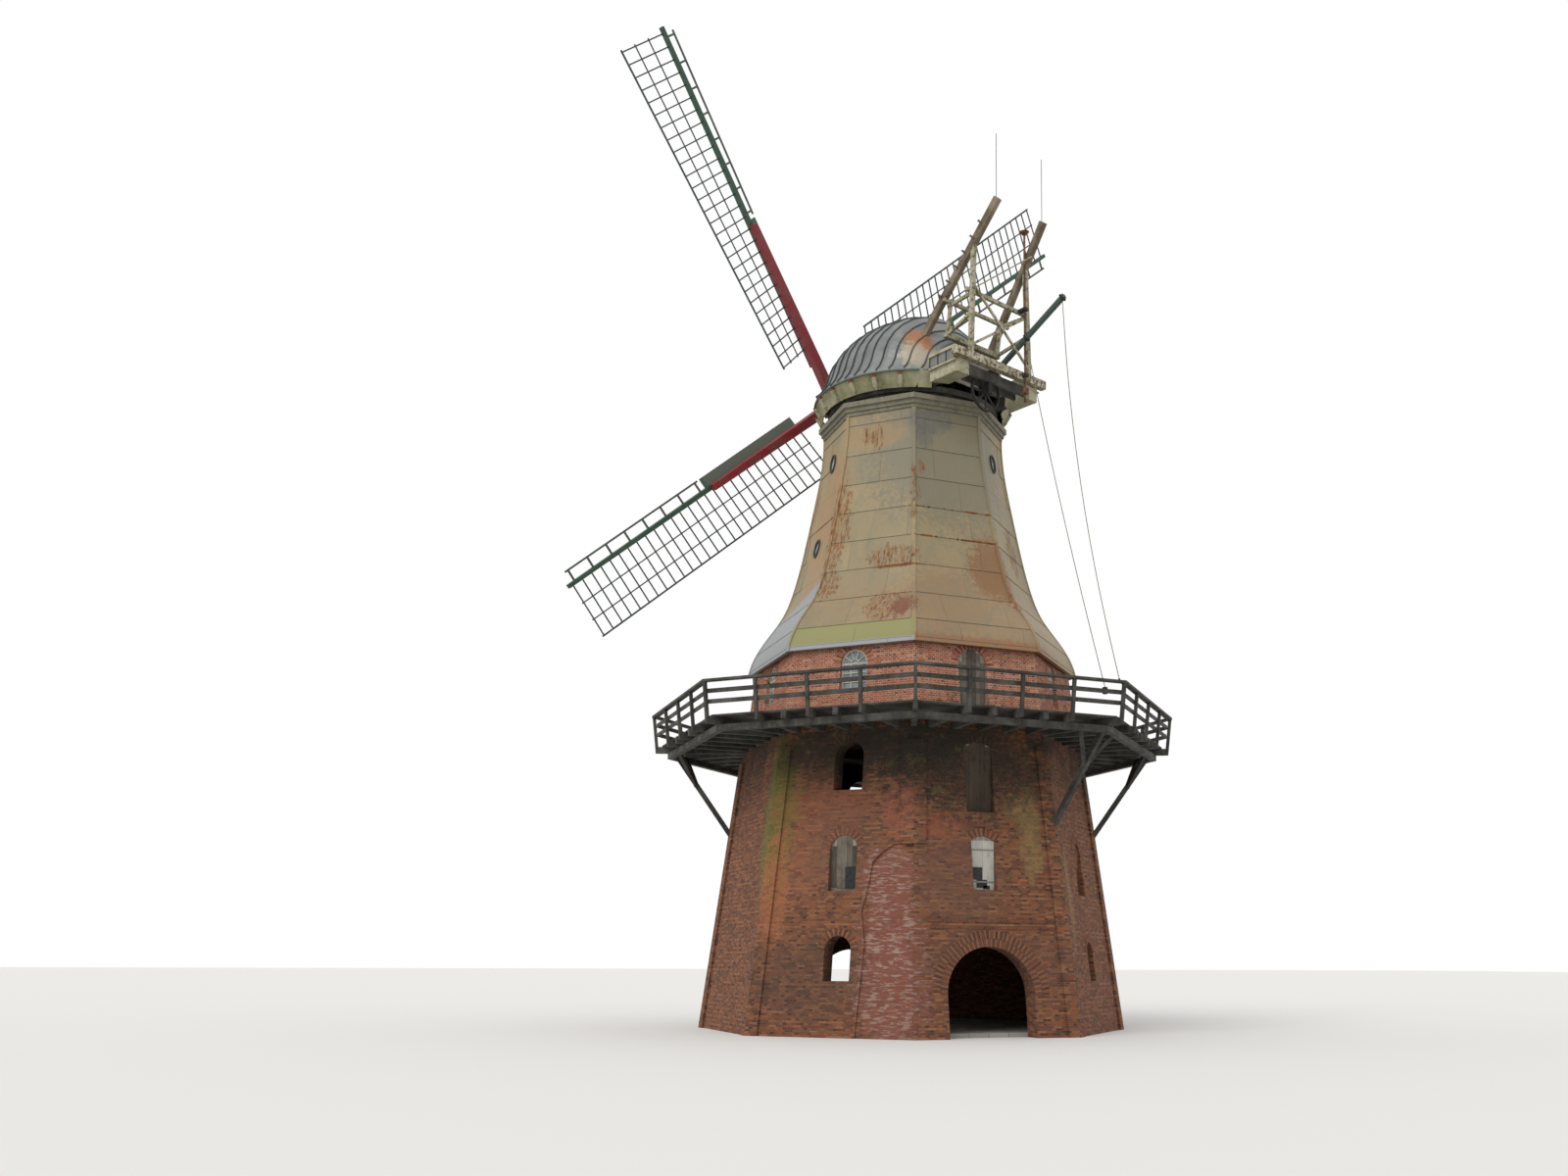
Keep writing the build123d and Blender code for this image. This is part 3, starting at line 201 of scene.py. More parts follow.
def setStudio():
    # a pale world that lights softly and shows white where it is seen
    world = bpy.data.worlds.new("paleStudio")
    bpy.context.scene.world = world
    world.use_nodes = True
    tree = world.node_tree
    tree.nodes.clear()
    light, seen = (addNode("Background", {"Color": (1, 1, 1), "Strength": studio[key]}, tree)
                   for key in ("worldStrength", "seenStrength"))
    path = addNode("LightPath", tree=tree)
    direct = most(*(path.out("Is %s Ray" % way) for way in ("Camera", "Glossy", "Transmission")))
    addNode("OutputWorld", {"Surface": addNode("MixShader", (direct, light, seen))})
    lamp = setAll(bpy.data.lights.new("softSun", "SUN"), energy=studio["sunStrength"],
                  angle=radians(studio["sunAngle"]), color=studio["sunColour"])
    heading, height = radians(studio["sunHeading"]), radians(studio["sunHeight"])
    source = Vector((cos(heading) * cos(height), sin(heading) * cos(height), sin(height)))
    addObject("softSun", lamp).rotation_euler = source.to_track_quat("Z", "Y").to_euler()
    bpy.context.scene.view_settings.view_transform = "Standard"


# what the pieces are made of
def timberMaterial(name, dark, pale, turn=0.0, along="z", boards=0.0, algae=0.0):
    # weathered timber: grain one way, silvered patches, dark gaps between boards
    material, coords = startMaterial(name)
    coords = turned(coords, turn)
    grain = noise(coords, 26.0, 6.0, 0.7, {"x": (0.12, 1, 1), "y": (1, 0.12, 1), "z": (1, 1, 0.12)}[along])
    silver = tuple(min(1.0, c * 1.35 + 0.03) for c in pale)
    colour = stain(coords, ramp(grain, (0.3, dark), (0.72, pale)), silver, (1.7, 3.0, 0.6), 0.38, 0.68, 0.7)
    height = grain
    if boards:
        gap = fade(reckon("PINGPONG", split(coords)[0], boards / 2), 0.0, 0.007)
        colour = blend(1.0 - gap, colour, (0.02, 0.018, 0.015))
        height = grain * 0.3 + gap
    if algae:
        colour = stain(coords, colour, (0.13, 0.15, 0.06), (5.0, 5.0, 0.65), 0.5, 0.72, algae)
    return finish(material, colour, 0.85, bump(height, 0.006, 0.8))


def paintMaterial(name, paint, bare, wear, dirt=0.35):
    # paint with grey streaks, flaked off in spots
    material, coords = startMaterial(name)
    flakes = noise(coords, 9.0, 8.0, 0.72)
    tone = stain(coords, paint, (0.10, 0.09, 0.07), (4.0, 4.0, 0.6, (1, 1, 0.25)), 0.3, 0.75, dirt)
    worn = fade(flakes, 0.72 - wear * 0.3, 0.76 - wear * 0.3)
    return finish(material, blend(worn, tone, bare), fade(flakes, 0.3, 0.8, 0.5, 0.9),
                  bump(1.0 - worn, 0.003, 0.7))


def peelingMaterial(name, paint, bare, share):
    # old white paint, peeled to the wood in spots, green and grimy, with painted shade on the faces that look down
    material, coords = startMaterial(name)
    flakes = noise(coords, 11.0, 8.0, 0.75, (1, 1, 0.7))
    worn = fade(flakes, 0.66 - share * 0.28, 0.71 - share * 0.28)
    tone = stain(coords, paint, (0.20, 0.215, 0.085), (3.0, 6.0, 0.68), 0.44, 0.66, 0.75)
    tone = stain(coords, tone, (0.11, 0.10, 0.07), (6.5, 6.0, 0.7, (1, 1, 0.3)), 0.5, 0.75, 0.7)
    # painted shade: faces that look down are darkened
    tone = blend(fade(facingUp(coords), -0.4, -0.8, 0.0, 0.55), tone, (0.15, 0.14, 0.065))
    return finish(material, blend(worn, tone, bare), 0.85, bump(1.0 - worn, 0.003, 0.7))


def rustMaterial(name, iron, rust, share):
    material, coords = startMaterial(name)
    bloom = noise(coords, 5.0, 8.0, 0.7)
    fine = noise(coords, 60.0, 5.0, 0.7)
    rusty = fade(bloom, 0.62 - share * 0.3, 0.78 - share * 0.3)
    colour = blend(rusty, iron, blend(fine, rust, (0.32, 0.14, 0.05)))
    return finish(material, colour, fade(bloom, 0.3, 0.7, 0.5, 0.92), bump(fine, 0.002, 0.8), 0.35)


wallAngles = {"front": -90, "front_left": -135, "front_right": -45, "right": 0, "left": 180, "back_right": 45,
              "back_left": 135, "back": 90}
brickWall = {"course": 0.0625, "header": 0.125, "joint": 0.010, "columns": 40, "rows": 176,
             "baseDistance": 5.9591, "batter": 0.12934, "jamb": 0.1, "cornerDistance": 6.45, "cornerBatter": 0.14}


def onUpright(angle, along, height, reach):
    turn = radians(angle)
    return Vector((reach * cos(turn) - along * sin(turn), reach * sin(turn) + along * cos(turn), height))


def facing(angle):
    return onUpright(angle, 0.0, 0.0, 1.0)


def wallReach(height, inset=0.0):
    # from the tower's axis to the battered brick face, or level behind it
    return brickWall["baseDistance"] - brickWall["batter"] * height - inset


def onWall(angle, along, height, inset=0.0):
    if angle % 45:
        # on the edge between two sides
        return onUpright(angle, along, height, brickWall["cornerDistance"] - brickWall["cornerBatter"] * height)
    return onUpright(angle, along, height, wallReach(height, inset))


def patchAt(coords, place, wide, tall, ragged, share):
    # a soft-edged patch round one place, wide across and tall up
    away = reckonVector("SUBTRACT", coords, tuple(place))
    away = reckonVector("MULTIPLY", away, (1 / wide, 1 / wide, 1 / tall))
    return fade(reckonVector("LENGTH", away).out("Value") + ragged, 1.25, 0.75, 0.0, share)


def paintPatches(coords, colour, ragged, patches, placeOf, broken=None):
    for *spot, wide, tall, tint, share in patches:
        patch = patchAt(coords, placeOf(*spot), wide, tall, ragged, share)
        colour = blend(patch * broken if broken else patch, colour, tint)
    return colour


def wallCoords(coords, angle):
    # one way along the wall and round the jambs, the other up it
    across, forward, height = split(turned(coords, radians(-90 - angle)))
    depth = -forward + (height * brickWall["batter"] - brickWall["baseDistance"])
    return point(across + depth * (abs(depth) > brickWall["jamb"]), height, 0.0)


# patches on the brickwork: side, off centre, height, wide, tall, colour, strength
brickPatches = [
    (-157.5, 0.0, 6.3, 0.75, 2.3, (0.12, 0.14, 0.018), 1.0), (-135, -1.95, 3.8, 0.42, 1.7, (0.40, 0.14, 0.06), 0.75),
    (-135, -0.7, 6.3, 1.5, 0.8, (0.26, 0.09, 0.045), 0.6), (-135, -1.2, 4.7, 0.8, 1.1, (0.29, 0.11, 0.055), 0.55),
    (-135, 1.75, 6.2, 0.45, 0.95, (0.30, 0.09, 0.06), 0.65), (-90, -0.9, 4.4, 1.3, 1.3, (0.13, 0.068, 0.047), 0.7),
    (-90, -1.26, 5.75, 0.6, 0.42, (0.30, 0.085, 0.045), 0.75), (-90, 1.38, 5.6, 0.33, 1.5, (0.25, 0.19, 0.07), 0.7),
    (-90, 0.95, 6.35, 0.42, 0.4, (0.25, 0.18, 0.065), 0.7), (-45, -1.6, 4.0, 0.3, 1.9, (0.30, 0.23, 0.11), 0.6),
    # the two near-black patches at 7.6 m and 8.0 m are painted shade under the gallery
    (-90, -0.5, 7.6, 2.2, 1.6, (0.016, 0.016, 0.009), 1.0), (-135, 0.7, 8.0, 2.3, 1.0, (0.018, 0.018, 0.010), 1.0),
    (-135, -0.6, 1.6, 1.9, 1.1, (0.060, 0.040, 0.030), 0.65), (-90, -0.2, 1.9, 2.4, 1.0, (0.10, 0.055, 0.04), 0.5),
    (-135, 0.2, 5.1, 1.2, 1.2, (0.14, 0.07, 0.05), 0.5)]
# the rough place low on the front left: off centre, height, wide, tall
scarPatches = [(1.5, 4.3, 0.75, 0.85), (1.65, 2.9, 0.85, 1.2), (1.75, 1.2, 0.95, 1.6)]


def stainBricks(colour, height, coords):
    # painted shade under the gallery, stains, moss, lime and lichen
    ragged = (noise(coords, 3.5, 7.0, 0.7) - 0.5) * 2.6
    broken = fade(noise(coords, 15.0, 6.0, 0.75), 0.34, 0.62, 0.25, 0.85)
    under = height < 8.5
    colour = paintPatches(coords, colour, ragged, brickPatches, onWall, broken)
    # painted shade: the brick grows darker towards the underside of the gallery
    paintedGalleryShade = fade(height, 6.4, 8.2) * fade(noise(coords, 0.7, 5.0, 0.6), 0.30, 0.60) * under * 0.85
    colour = blend(paintedGalleryShade, colour, (0.020, 0.017, 0.011))
    mossy = fade(noise(coords, 2.6, 7.0, 0.68), 0.55, 0.70) * fade(height, 2.0, 7.0, 0.1, 0.6) * under
    colour = blend(mossy, colour, (0.10, 0.10, 0.028))
    colour = stain(coords, colour, (0.36, 0.30, 0.24), (1.4, 6.0, 0.7, (1, 1, 0.35)), 0.66, 0.80, 0.4)
    smears = fade(noise(coords, 8.0, 4.0, 0.6, (0.45, 0.45, 2.0)), 0.50, 0.62, 0.0, 0.6)
    for along, up, wide, tall in scarPatches:
        rough = patchAt(coords, onWall(-135, along, up, 0.06), wide, tall, ragged, 0.7)
        colour = blend(rough, colour, (0.21, 0.07, 0.048))
        colour = blend(smears * rough, colour, (0.46, 0.38, 0.32))
    return colour


def firedClay(tone, height, speckle):
    # dark red and brown below the gallery, bright red-orange with dark headers above it
    upper = fade(height, 8.6, 8.8)
    low = ramp(tone, (0.0, (0.05, 0.018, 0.012)), (0.3, (0.15, 0.048, 0.022)), (0.65, (0.235, 0.080, 0.030)),
               (1.0, (0.31, 0.130, 0.055)))
    high = ramp(tone, (0.0, (0.10, 0.035, 0.026)), (0.10, (0.20, 0.065, 0.04)), (0.2, (0.33, 0.10, 0.05)),
                (0.7, (0.43, 0.15, 0.08)), (1.0, (0.52, 0.26, 0.16)))
    bricks = blend(upper, low, high)
    return blend(fade(speckle, 0.3, 0.8, 0.0, 0.45), bricks, (0.08, 0.035, 0.025)), upper


def brickMaterial(name, angle=None):
    # with an angle the bond is drawn flat, for jambs, insides and joints; else for single bricks with a tone each
    material, coords = startMaterial(name)
    height = split(coords)[2]
    speckle = noise(coords, 45.0, 4.0, 0.7)
    if angle is None:
        bricks = stainBricks(firedClay(toneOf(coords), height, speckle)[0], height, coords)
        return finish(material, bricks, fade(speckle, 0.3, 0.8, 0.82, 0.95), bump(speckle, 0.003, 0.8))
    pattern = addNode("TexBrick", {
        "Vector": wallCoords(coords, angle), "Color1": (0, 0, 0), "Color2": (1, 1, 1), "Mortar": (0.5, 0.5, 0.5),
        "Scale": 1.0, "Mortar Size": brickWall["joint"] / 2, "Mortar Smooth": 0.3, "Bias": 0.0,
        "Brick Width": brickWall["header"], "Row Height": brickWall["course"]},
        offset=0.25, offset_frequency=2, squash=2.0, squash_frequency=2)
    bricks, upper = firedClay(pattern, height, speckle)
    joints = pattern.out("Fac")
    colour = blend(joints, bricks, blend(upper, (0.14, 0.11, 0.075), (0.70, 0.61, 0.48)))
    return finish(material, stainBricks(colour, height, coords), 0.9, bump(speckle * 0.4 - joints, 0.006, 0.9))


# painted sheets nailed over the smock, each row lapping the next; the grid is that of one sheet
sheetSpec = {"rows": [10.93, 11.05, 11.626, 12.55, 13.523, 14.468, 15.408, 16.341, 17.309, 18.289, 18.602],
             "long": 2.0, "shift": [0.3, -0.55, 0.55, -0.35, 0.45, -0.5, 0.4, -0.2, 0.6, 0.1], "lap": 0.035,
             "top": 18.60, "lift": 0.004, "lip": 0.014, "thick": 0.020, "dent": 0.006, "strip": 0.052, "gap": 0.004,
             "least": 0.15, "grid": (6, 7), "step": 0.05, "steps": 154, "castFrom": 9.0, "castBeside": 0.45}
portholes = {180: [14.70, 17.48], -45: [17.48], 90: [17.48], 45: [14.70, 17.48], 0: [14.70]}
portholeCut = {"high": 0.612, "wide": 0.452, "deep": 0.5, "span": 0.4}
# half the width of the smock at some heights
smockProfile = [(10.92, 4.74), (12.04, 4.25), (12.85, 3.73), (13.6, 3.455), (14.4, 3.25), (15.4, 3.05),
                (16.5, 2.84), (17.65, 2.66), (18.6, 2.61)]

# rust and soot on the sheets: side, off centre, height, wide, tall, colour, strength
sheetPatches = [
    (-90, 0.0, 17.4, 2.4, 2.6, (0.165, 0.155, 0.105), 0.75),
    (-90, -0.55, 18.25, 0.7, 0.40, (0.085, 0.095, 0.095), 0.6),
    (-90, -0.75, 17.75, 0.28, 0.40, (0.085, 0.09, 0.085), 0.5), (-90, 0.3, 11.9, 3.6, 1.7, (0.30, 0.19, 0.10), 0.6),
    (-90, 1.15, 13.5, 0.8, 1.15, (0.21, 0.095, 0.030), 0.85),
    (-135, -0.15, 17.85, 0.95, 0.42, (0.35, 0.22, 0.09), 0.55),
    (-180, 0.4, 15.2, 1.1, 2.6, (0.34, 0.19, 0.075), 0.75), (-135, 1.40, 12.08, 0.30, 0.46, (0.15, 0.028, 0.012), 0.92),
    (45, 0.3, 13.4, 1.3, 1.6, (0.28, 0.15, 0.07), 0.5), (0, -0.6, 12.9, 1.2, 1.4, (0.27, 0.15, 0.07), 0.5),
    (135, 0.2, 14.0, 1.2, 1.8, (0.28, 0.15, 0.07), 0.5), (90, 0.4, 12.4, 1.6, 1.2, (0.27, 0.14, 0.06), 0.5),
    (-90, 0.0, 10.95, 3.6, 0.25, (0.27, 0.11, 0.04), 0.7), (-90, -0.6, 12.3, 1.3, 1.1, (0.24, 0.155, 0.08), 0.5),
    (-135, -0.9, 12.6, 0.9, 0.9, (0.30, 0.21, 0.11), 0.5)]
# side, off centre, height, wide, tall
rustStreaks = [
    (-135, -0.05, 17.80, 0.16, 0.42), (-135, -0.45, 17.92, 0.12, 0.28), (-135, -0.22, 17.8, 0.07, 0.25),
    (-135, 0.7, 13.8, 0.8, 0.36), (-135, 0.95, 12.15, 0.7, 0.5), (-135, 0.55, 14.05, 0.10, 0.3),
    (-135, -1.2, 13.1, 0.35, 0.5), (-135, -0.9, 14.8, 0.18, 0.34), (-112.5, 0.0, 16.15, 0.12, 0.75),
    (-112.5, 0.0, 15.2, 0.07, 1.3), (-112.5, 0.16, 15.9, 0.10, 0.3), (-157.5, 0.12, 15.2, 0.40, 2.2),
    (-157.5, 0.1, 13.4, 0.35, 1.4), (-112.5, 0.0, 12.2, 0.16, 1.5), (-67.5, 0.0, 12.6, 0.24, 1.6),
    (-90, -0.9, 16.7, 0.10, 0.25), (45, 0.6, 15.6, 0.7, 1.0), (90, -0.4, 14.4, 0.8, 1.2), (135, 0.9, 16.0, 0.6, 1.2),
    (0, 0.5, 16.6, 0.5, 0.9), (-45, 0.3, 14.6, 0.5, 0.8)]
# rusty laps of the front: height, from which share of the noise
rustyLaps = [(15.408, 0.47), (14.468, 0.44)]


def onSheets(angle, along, height):
    for (low, near), (high, far) in zip(smockProfile, smockProfile[1:]):
        if height <= high:
            break
    reach = near + (far - near) * (height - low) / (high - low)
    if angle % 45:
        reach /= cos(radians(22.5))
    return onUpright(angle, along, height, reach)


def sheetMaterial(name, toned=True):
    # cream paint gone olive, grey and orange, with rust runs under the laps
    material, coords = startMaterial(name)
    x, y, height = split(coords)
    colour = ramp(noise(coords, 0.55, 4.0, 0.55), (0.3, (0.255, 0.205, 0.105)), (0.5, (0.33, 0.25, 0.125)),
                  (0.7, (0.285, 0.235, 0.135)))
    if toned:
        colour = blend(fade(toneOf(coords), 0.2, 0.9, 0.0, 0.6), colour, (0.205, 0.175, 0.105))
    mottle = noise(coords, 7.0, 7.0, 0.72)
    ragged = (mottle - 0.5) * 2.2
    colour = paintPatches(coords, colour, ragged, sheetPatches, onSheets)
    runs = noise(coords, 13.0, 7.0, 0.76, (1, 1, 0.10))
    colour = blend(fade(runs, 0.48, 0.76, 0.0, 0.55), colour, (0.23, 0.15, 0.07))
    colour = stain(coords, colour, (0.17, 0.165, 0.125), (3.2, 7.0, 0.7, (1, 1, 0.35)), 0.44, 0.70, 0.42)
    colour = blend(fade(mottle, 0.56, 0.78, 0.0, 0.45), colour, (0.16, 0.14, 0.09))

    # rust: blooms, streaks, the lifted corner of one sheet, two laps of the front
    rust = fade(noise(coords, 1.5, 8.0, 0.7, (1, 1, 0.45)), 0.68, 0.76, 0.0, 0.8)
    fine = fade(runs, 0.42, 0.60, 0.0, 0.9)
    streaks = (patchAt(coords, onSheets(*spot), wide, tall, ragged, 1.0) * fine for *spot, wide, tall in rustStreaks)
    corner = patchAt(coords, onSheets(-135, 0.95, 13.50), 0.75, 0.05, ragged * 0.35, 0.9)
    front = -y > abs(x) * 2.45
    broken = noise(coords, 2.3, 3.0, 0.6, (1, 1, 0.2))
    laps = (fade(abs(height - seam), 0.045, 0.02) * front * fade(broken, least, least + 0.06)
            for seam, least in rustyLaps)
    rust = most(rust, *streaks, corner, *laps)
    colour = blend(rust, colour, ramp(mottle, (0.35, (0.12, 0.035, 0.013)), (0.65, (0.29, 0.11, 0.03))))
    if toned:
        edge = most(*(fade(abs(height - row), 0.014, 0.004) for row in sheetSpec["rows"][2:-1]))
        colour = blend(edge * 0.55, colour, (0.07, 0.055, 0.035))

    # newer grey sheets on the left, a green row and a grey foot on the front left
    fresh = (-x > abs(y) * 2.40) * (height < y * -0.25 + 12.95)
    colour = blend(fresh * 0.92, colour, (0.27, 0.285, 0.30))
    leftFront = (x + y) * -0.70711 > abs(x - y) * 1.70
    colour = blend(leftFront * fade(height, 11.64, 11.60) * 0.85, colour, (0.25, 0.25, 0.085))
    colour = blend(leftFront * fade(height, 11.09, 11.05) * 0.9, colour, (0.30, 0.31, 0.33))
    normal = bump(noise(coords, 2.2, 2.0, 0.5), 0.04, 0.35)
    return finish(material, colour, fade(rust, 0.0, 1.0, 0.55, 0.88), bump(rust, 0.002, 0.6, normal))


# patches on the roof: place on the cap's axes, wide, tall, colour, strength
roofPatches = [
    (-1.95, 1.65, 20.75, 0.42, 0.50, (0.36, 0.145, 0.05), 0.85),
    (-2.2, 1.9, 20.25, 0.5, 0.45, (0.40, 0.34, 0.24), 0.75), (-2.35, 1.55, 20.75, 0.2, 0.45, (0.34, 0.12, 0.045), 0.8),
    (-2.45, -1.35, 20.8, 0.45, 0.5, (0.34, 0.14, 0.05), 0.7)]


def roofMaterial(name, shade=1.0):
    material, coords = startMaterial(name)
    tone = noise(coords, 1.2, 5.0, 0.6)
    greys = [(0.3, (0.115, 0.13, 0.128)), (0.5, (0.19, 0.205, 0.205)), (0.7, (0.28, 0.285, 0.265))]
    colour = ramp(tone, *((at, tuple(c * shade for c in grey)) for at, grey in greys))
    colour = stain(coords, colour, (0.12, 0.12, 0.10), (6.0, 5.0, 0.6, (1, 1, 0.2)), 0.5, 0.78, 0.5)
    colour = stain(coords, colour, (0.26, 0.11, 0.04), (2.1, 7.0, 0.7), 0.66, 0.74)
    ragged = (noise(coords, 6.0, 6.0, 0.7) - 0.5) * 2.6
    shaded = [(*patch, share * shade) for *patch, share in roofPatches]
    colour = paintPatches(coords, colour, ragged, shaded, capPoint)
    return finish(material, colour, fade(tone, 0.3, 0.7, 0.35, 0.6), bump(noise(coords, 3.0, 2.0), 0.02, 0.3), 0.25)


sailPaint = {"hub": (-1.30051, 3.60242, 21.17), "redTo": 6.15, "edge": 0.04}


def sailMaterial(name, red, green, wear=0.3):
    # red by the hub, green beyond the end of the stock
    material, coords = startMaterial(name)
    reach = reckonVector("DISTANCE", coords, sailPaint["hub"]).out("Value")
    paint = blend(fade(reach, sailPaint["redTo"], sailPaint["redTo"] + sailPaint["edge"]), red, green)
    paint = stain(coords, paint, (0.10, 0.10, 0.08), (2.5, 5.0, 0.6), 0.35, 0.75, 0.45)
    worn = fade(noise(coords, 14.0, 7.0, 0.72), 0.74 - wear * 0.25, 0.78 - wear * 0.25)
    return finish(material, blend(worn, paint, (0.28, 0.25, 0.20)), 0.62, bump(1.0 - worn, 0.002, 0.6))


def boardMaterial(name, dark, pale):
    # one tone for each board, grain along it
    material, coords = startMaterial(name)
    grain = noise(coords, 26.0, 6.0, 0.7, (1, 1, 0.12))
    colour = ramp(grain * 0.6 + toneOf(coords) * 0.4, (0.25, dark), (0.75, pale))
    colour = stain(coords, colour, tuple(c * 0.6 for c in dark), (3.0, 5.0, 0.6), 0.45, 0.75, 0.6)
    return finish(material, colour, 0.85, bump(grain, 0.004, 0.8))


def eavesMaterial(name):
    # pale boards underneath, a grey-green rim on the outside
    material, coords = startMaterial(name)
    soft = noise(coords, 1.6, 6.0, 0.65)
    under = ramp(soft, (0.3, (0.12, 0.125, 0.055)), (0.5, (0.27, 0.26, 0.15)), (0.7, (0.42, 0.39, 0.27)))
    rim = ramp(soft, (0.3, (0.07, 0.085, 0.05)), (0.5, (0.14, 0.15, 0.11)), (0.7, (0.22, 0.22, 0.16)))
    colour = blend(fade(facingUp(coords), -0.35, -0.15), under, rim)
    grain = noise(coords, 22.0, 6.0, 0.7)
    colour = blend(fade(grain, 0.55, 0.8, 0.0, 0.6), colour, (0.06, 0.065, 0.035))
    return finish(material, colour, 0.8, bump(grain, 0.003, 0.6))


def glassMaterial(name):
    # grimy panes, the high ones paler with a painted reflection of the sky
    material, coords = startMaterial(name)
    grime = noise(coords, 6.0, 5.0, 0.6)
    colour = ramp(grime, (0.3, (0.10, 0.13, 0.15)), (0.7, (0.30, 0.34, 0.36)))
    # painted reflection: pale sky on the panes above 13 m
    colour = blend(fade(split(coords)[2], 13.0, 13.1, 0.0, 0.8), colour, (0.46, 0.55, 0.58))
    return finish(material, colour, fade(grime, 0.3, 0.7, 0.05, 0.35))


def stoneMaterial(name):
    material, coords = startMaterial(name)
    flags = addNode("TexBrick", {"Vector": coords, "Color1": (0.22, 0.21, 0.19), "Color2": (0.32, 0.30, 0.27),
                                 "Mortar": (0.08, 0.075, 0.07), "Scale": 1.0, "Mortar Size": 0.008,
                                 "Brick Width": 0.6, "Row Height": 0.6})
    return finish(material, flags, 0.85, bump(noise(coords, 20.0, 6.0), 0.006, 0.6))


def ropeMaterial(name):
    # laid hemp, gone grey
    material, coords = startMaterial(name)
    lay = addNode("TexWave", {"Vector": coords, "Scale": 12.0, "Distortion": 1.5},
                  bands_direction="DIAGONAL").out("Fac")
    return finish(material, ramp(lay, (0.2, (0.11, 0.09, 0.065)), (0.8, (0.33, 0.29, 0.22))), 0.95,
                  bump(lay, 0.004, 0.8))


# geometry node trees: laid bricks, arches and rows of boards
def startTree(name, **sockets):
    tree = bpy.data.node_groups.new(name, "GeometryNodeTree")
    for way in ("INPUT", "OUTPUT"):
        tree.interface.new_socket("Geometry", in_out=way, socket_type="NodeSocketGeometry")
    names = [(socket, kind) for kind, row in sockets.items() for socket in row.split()]
    for socket, kind in names:
        tree.interface.new_socket(socket, in_out="INPUT", socket_type="NodeSocket" + kind)
    group = tree.nodes.new("NodeGroupInput")
    index = addNode("GeometryNodeInputIndex", tree=tree)
    return tree, {socket: Field(group, socket) for socket, kind in names}, index


def endTree(geometry, source=None):
    geometry = addNode("GeometryNodeRealizeInstances", (geometry,))
    if source:
        geometry = addNode("GeometryNodeTransform", {"Geometry": geometry, "Rotation": source["turn"],
                                                     "Translation": source["place"]})
    addNode("NodeGroupOutput", (geometry,))


def logic(operation, *values):
    return addNode("FunctionNodeBooleanMath", values, operation=operation)


def near(a, b, room):
    return abs(a - b) < room


def addVectors(first, *others):
    for other in others:
        first = reckonVector("ADD", first, other)
    return first


def scaled(vector, share):
    return addNode("VectorMath", {0: vector, "Scale": share}, operation="SCALE")


def chance(low, high, seed):
    return addNode("FunctionNodeRandomValue", {2: low, 3: high, 8: seed}, data_type="FLOAT").out(1)


def dotsAt(count, place, tree):
    dots = addNode("GeometryNodePoints", {"Count": count}, tree)
    return addNode("GeometryNodeSetPosition", {"Geometry": dots, "Position": place})


def store(geometry, name, value, kind="FLOAT"):
    return addNode("GeometryNodeStoreNamedAttribute", {"Geometry": geometry, "Name": name, "Value": value},
                   data_type=kind, domain="POINT")


def boxesOn(points, size, **more):
    # a box on each point, of one size or of the size stored there
    if size is None:
        more["Scale"] = addNode("GeometryNodeInputNamedAttribute", {"Name": "boxSize"}, points.tree,
                                data_type="FLOAT_VECTOR")
        size = (1.0, 1.0, 1.0)
    box = addNode("GeometryNodeMeshCube", {"Size": size}, points.tree)
    return addNode("GeometryNodeInstanceOnPoints", {"Points": points, "Instance": box, **more})


def growMesh(tree, values):
    # run a tree on an empty holder and keep the plain mesh
    holder = addObject("holder", bpy.data.meshes.new("holder"))
    modifier = holder.modifiers.new("tree", "NODES")
    modifier.node_group = tree
    for item in tree.interface.items_tree:
        if item.in_out == "INPUT" and item.name in values:
            modifier[item.identifier] = values[item.name]
    made = plainMesh(holder)
    bpy.data.objects.remove(holder)
    return made


def plainMesh(thing):
    graph = bpy.context.evaluated_depsgraph_get()
    return bpy.data.meshes.new_from_object(thing.evaluated_get(graph), depsgraph=graph)


def setTones(mesh, tones):
    mesh.attributes.new("tone", "FLOAT", "POINT").data.foreach_set("value", tones)


def newMesh(name, points, faces, tones):
    mesh = bpy.data.meshes.new(name)
    mesh.from_pydata(points, [], faces)
    setTones(mesh, tones)
    return mesh


def gather(meshes):
    points, faces = [], []
    for mesh in meshes:
        base = len(points)
        points += [v.co.copy() for v in mesh.vertices]
        faces += [[base + i for i in polygon.vertices] for polygon in mesh.polygons]
    return points, faces


def surfaceOf(*names):
    return BVHTree.FromPolygons(*gather(nodes[name].data for name in names))


# materials by name, filled from the table of looks
looks = {}


def coat(mesh, look):
    mesh.materials.clear()
    mesh.materials.append(looks[look])


def addPiece(name, mesh, look, body="tower"):
    coat(mesh, look)
    piece = addObject(name, mesh)
    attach(piece, body)
    return piece


# how the laid bricks stand off the wall, and how far rays may differ before a brick is left out
skinSpec = {"proud": 0.0035, "depth": 0.04, "uneven": 0.002, "far": 9.0, "ray": 6.0, "half": 0.024, "offFace": 0.11,
            "endsDiffer": 0.003, "offMiddle": 0.012, "wobble": 0.006, "evenTone": 0.15}


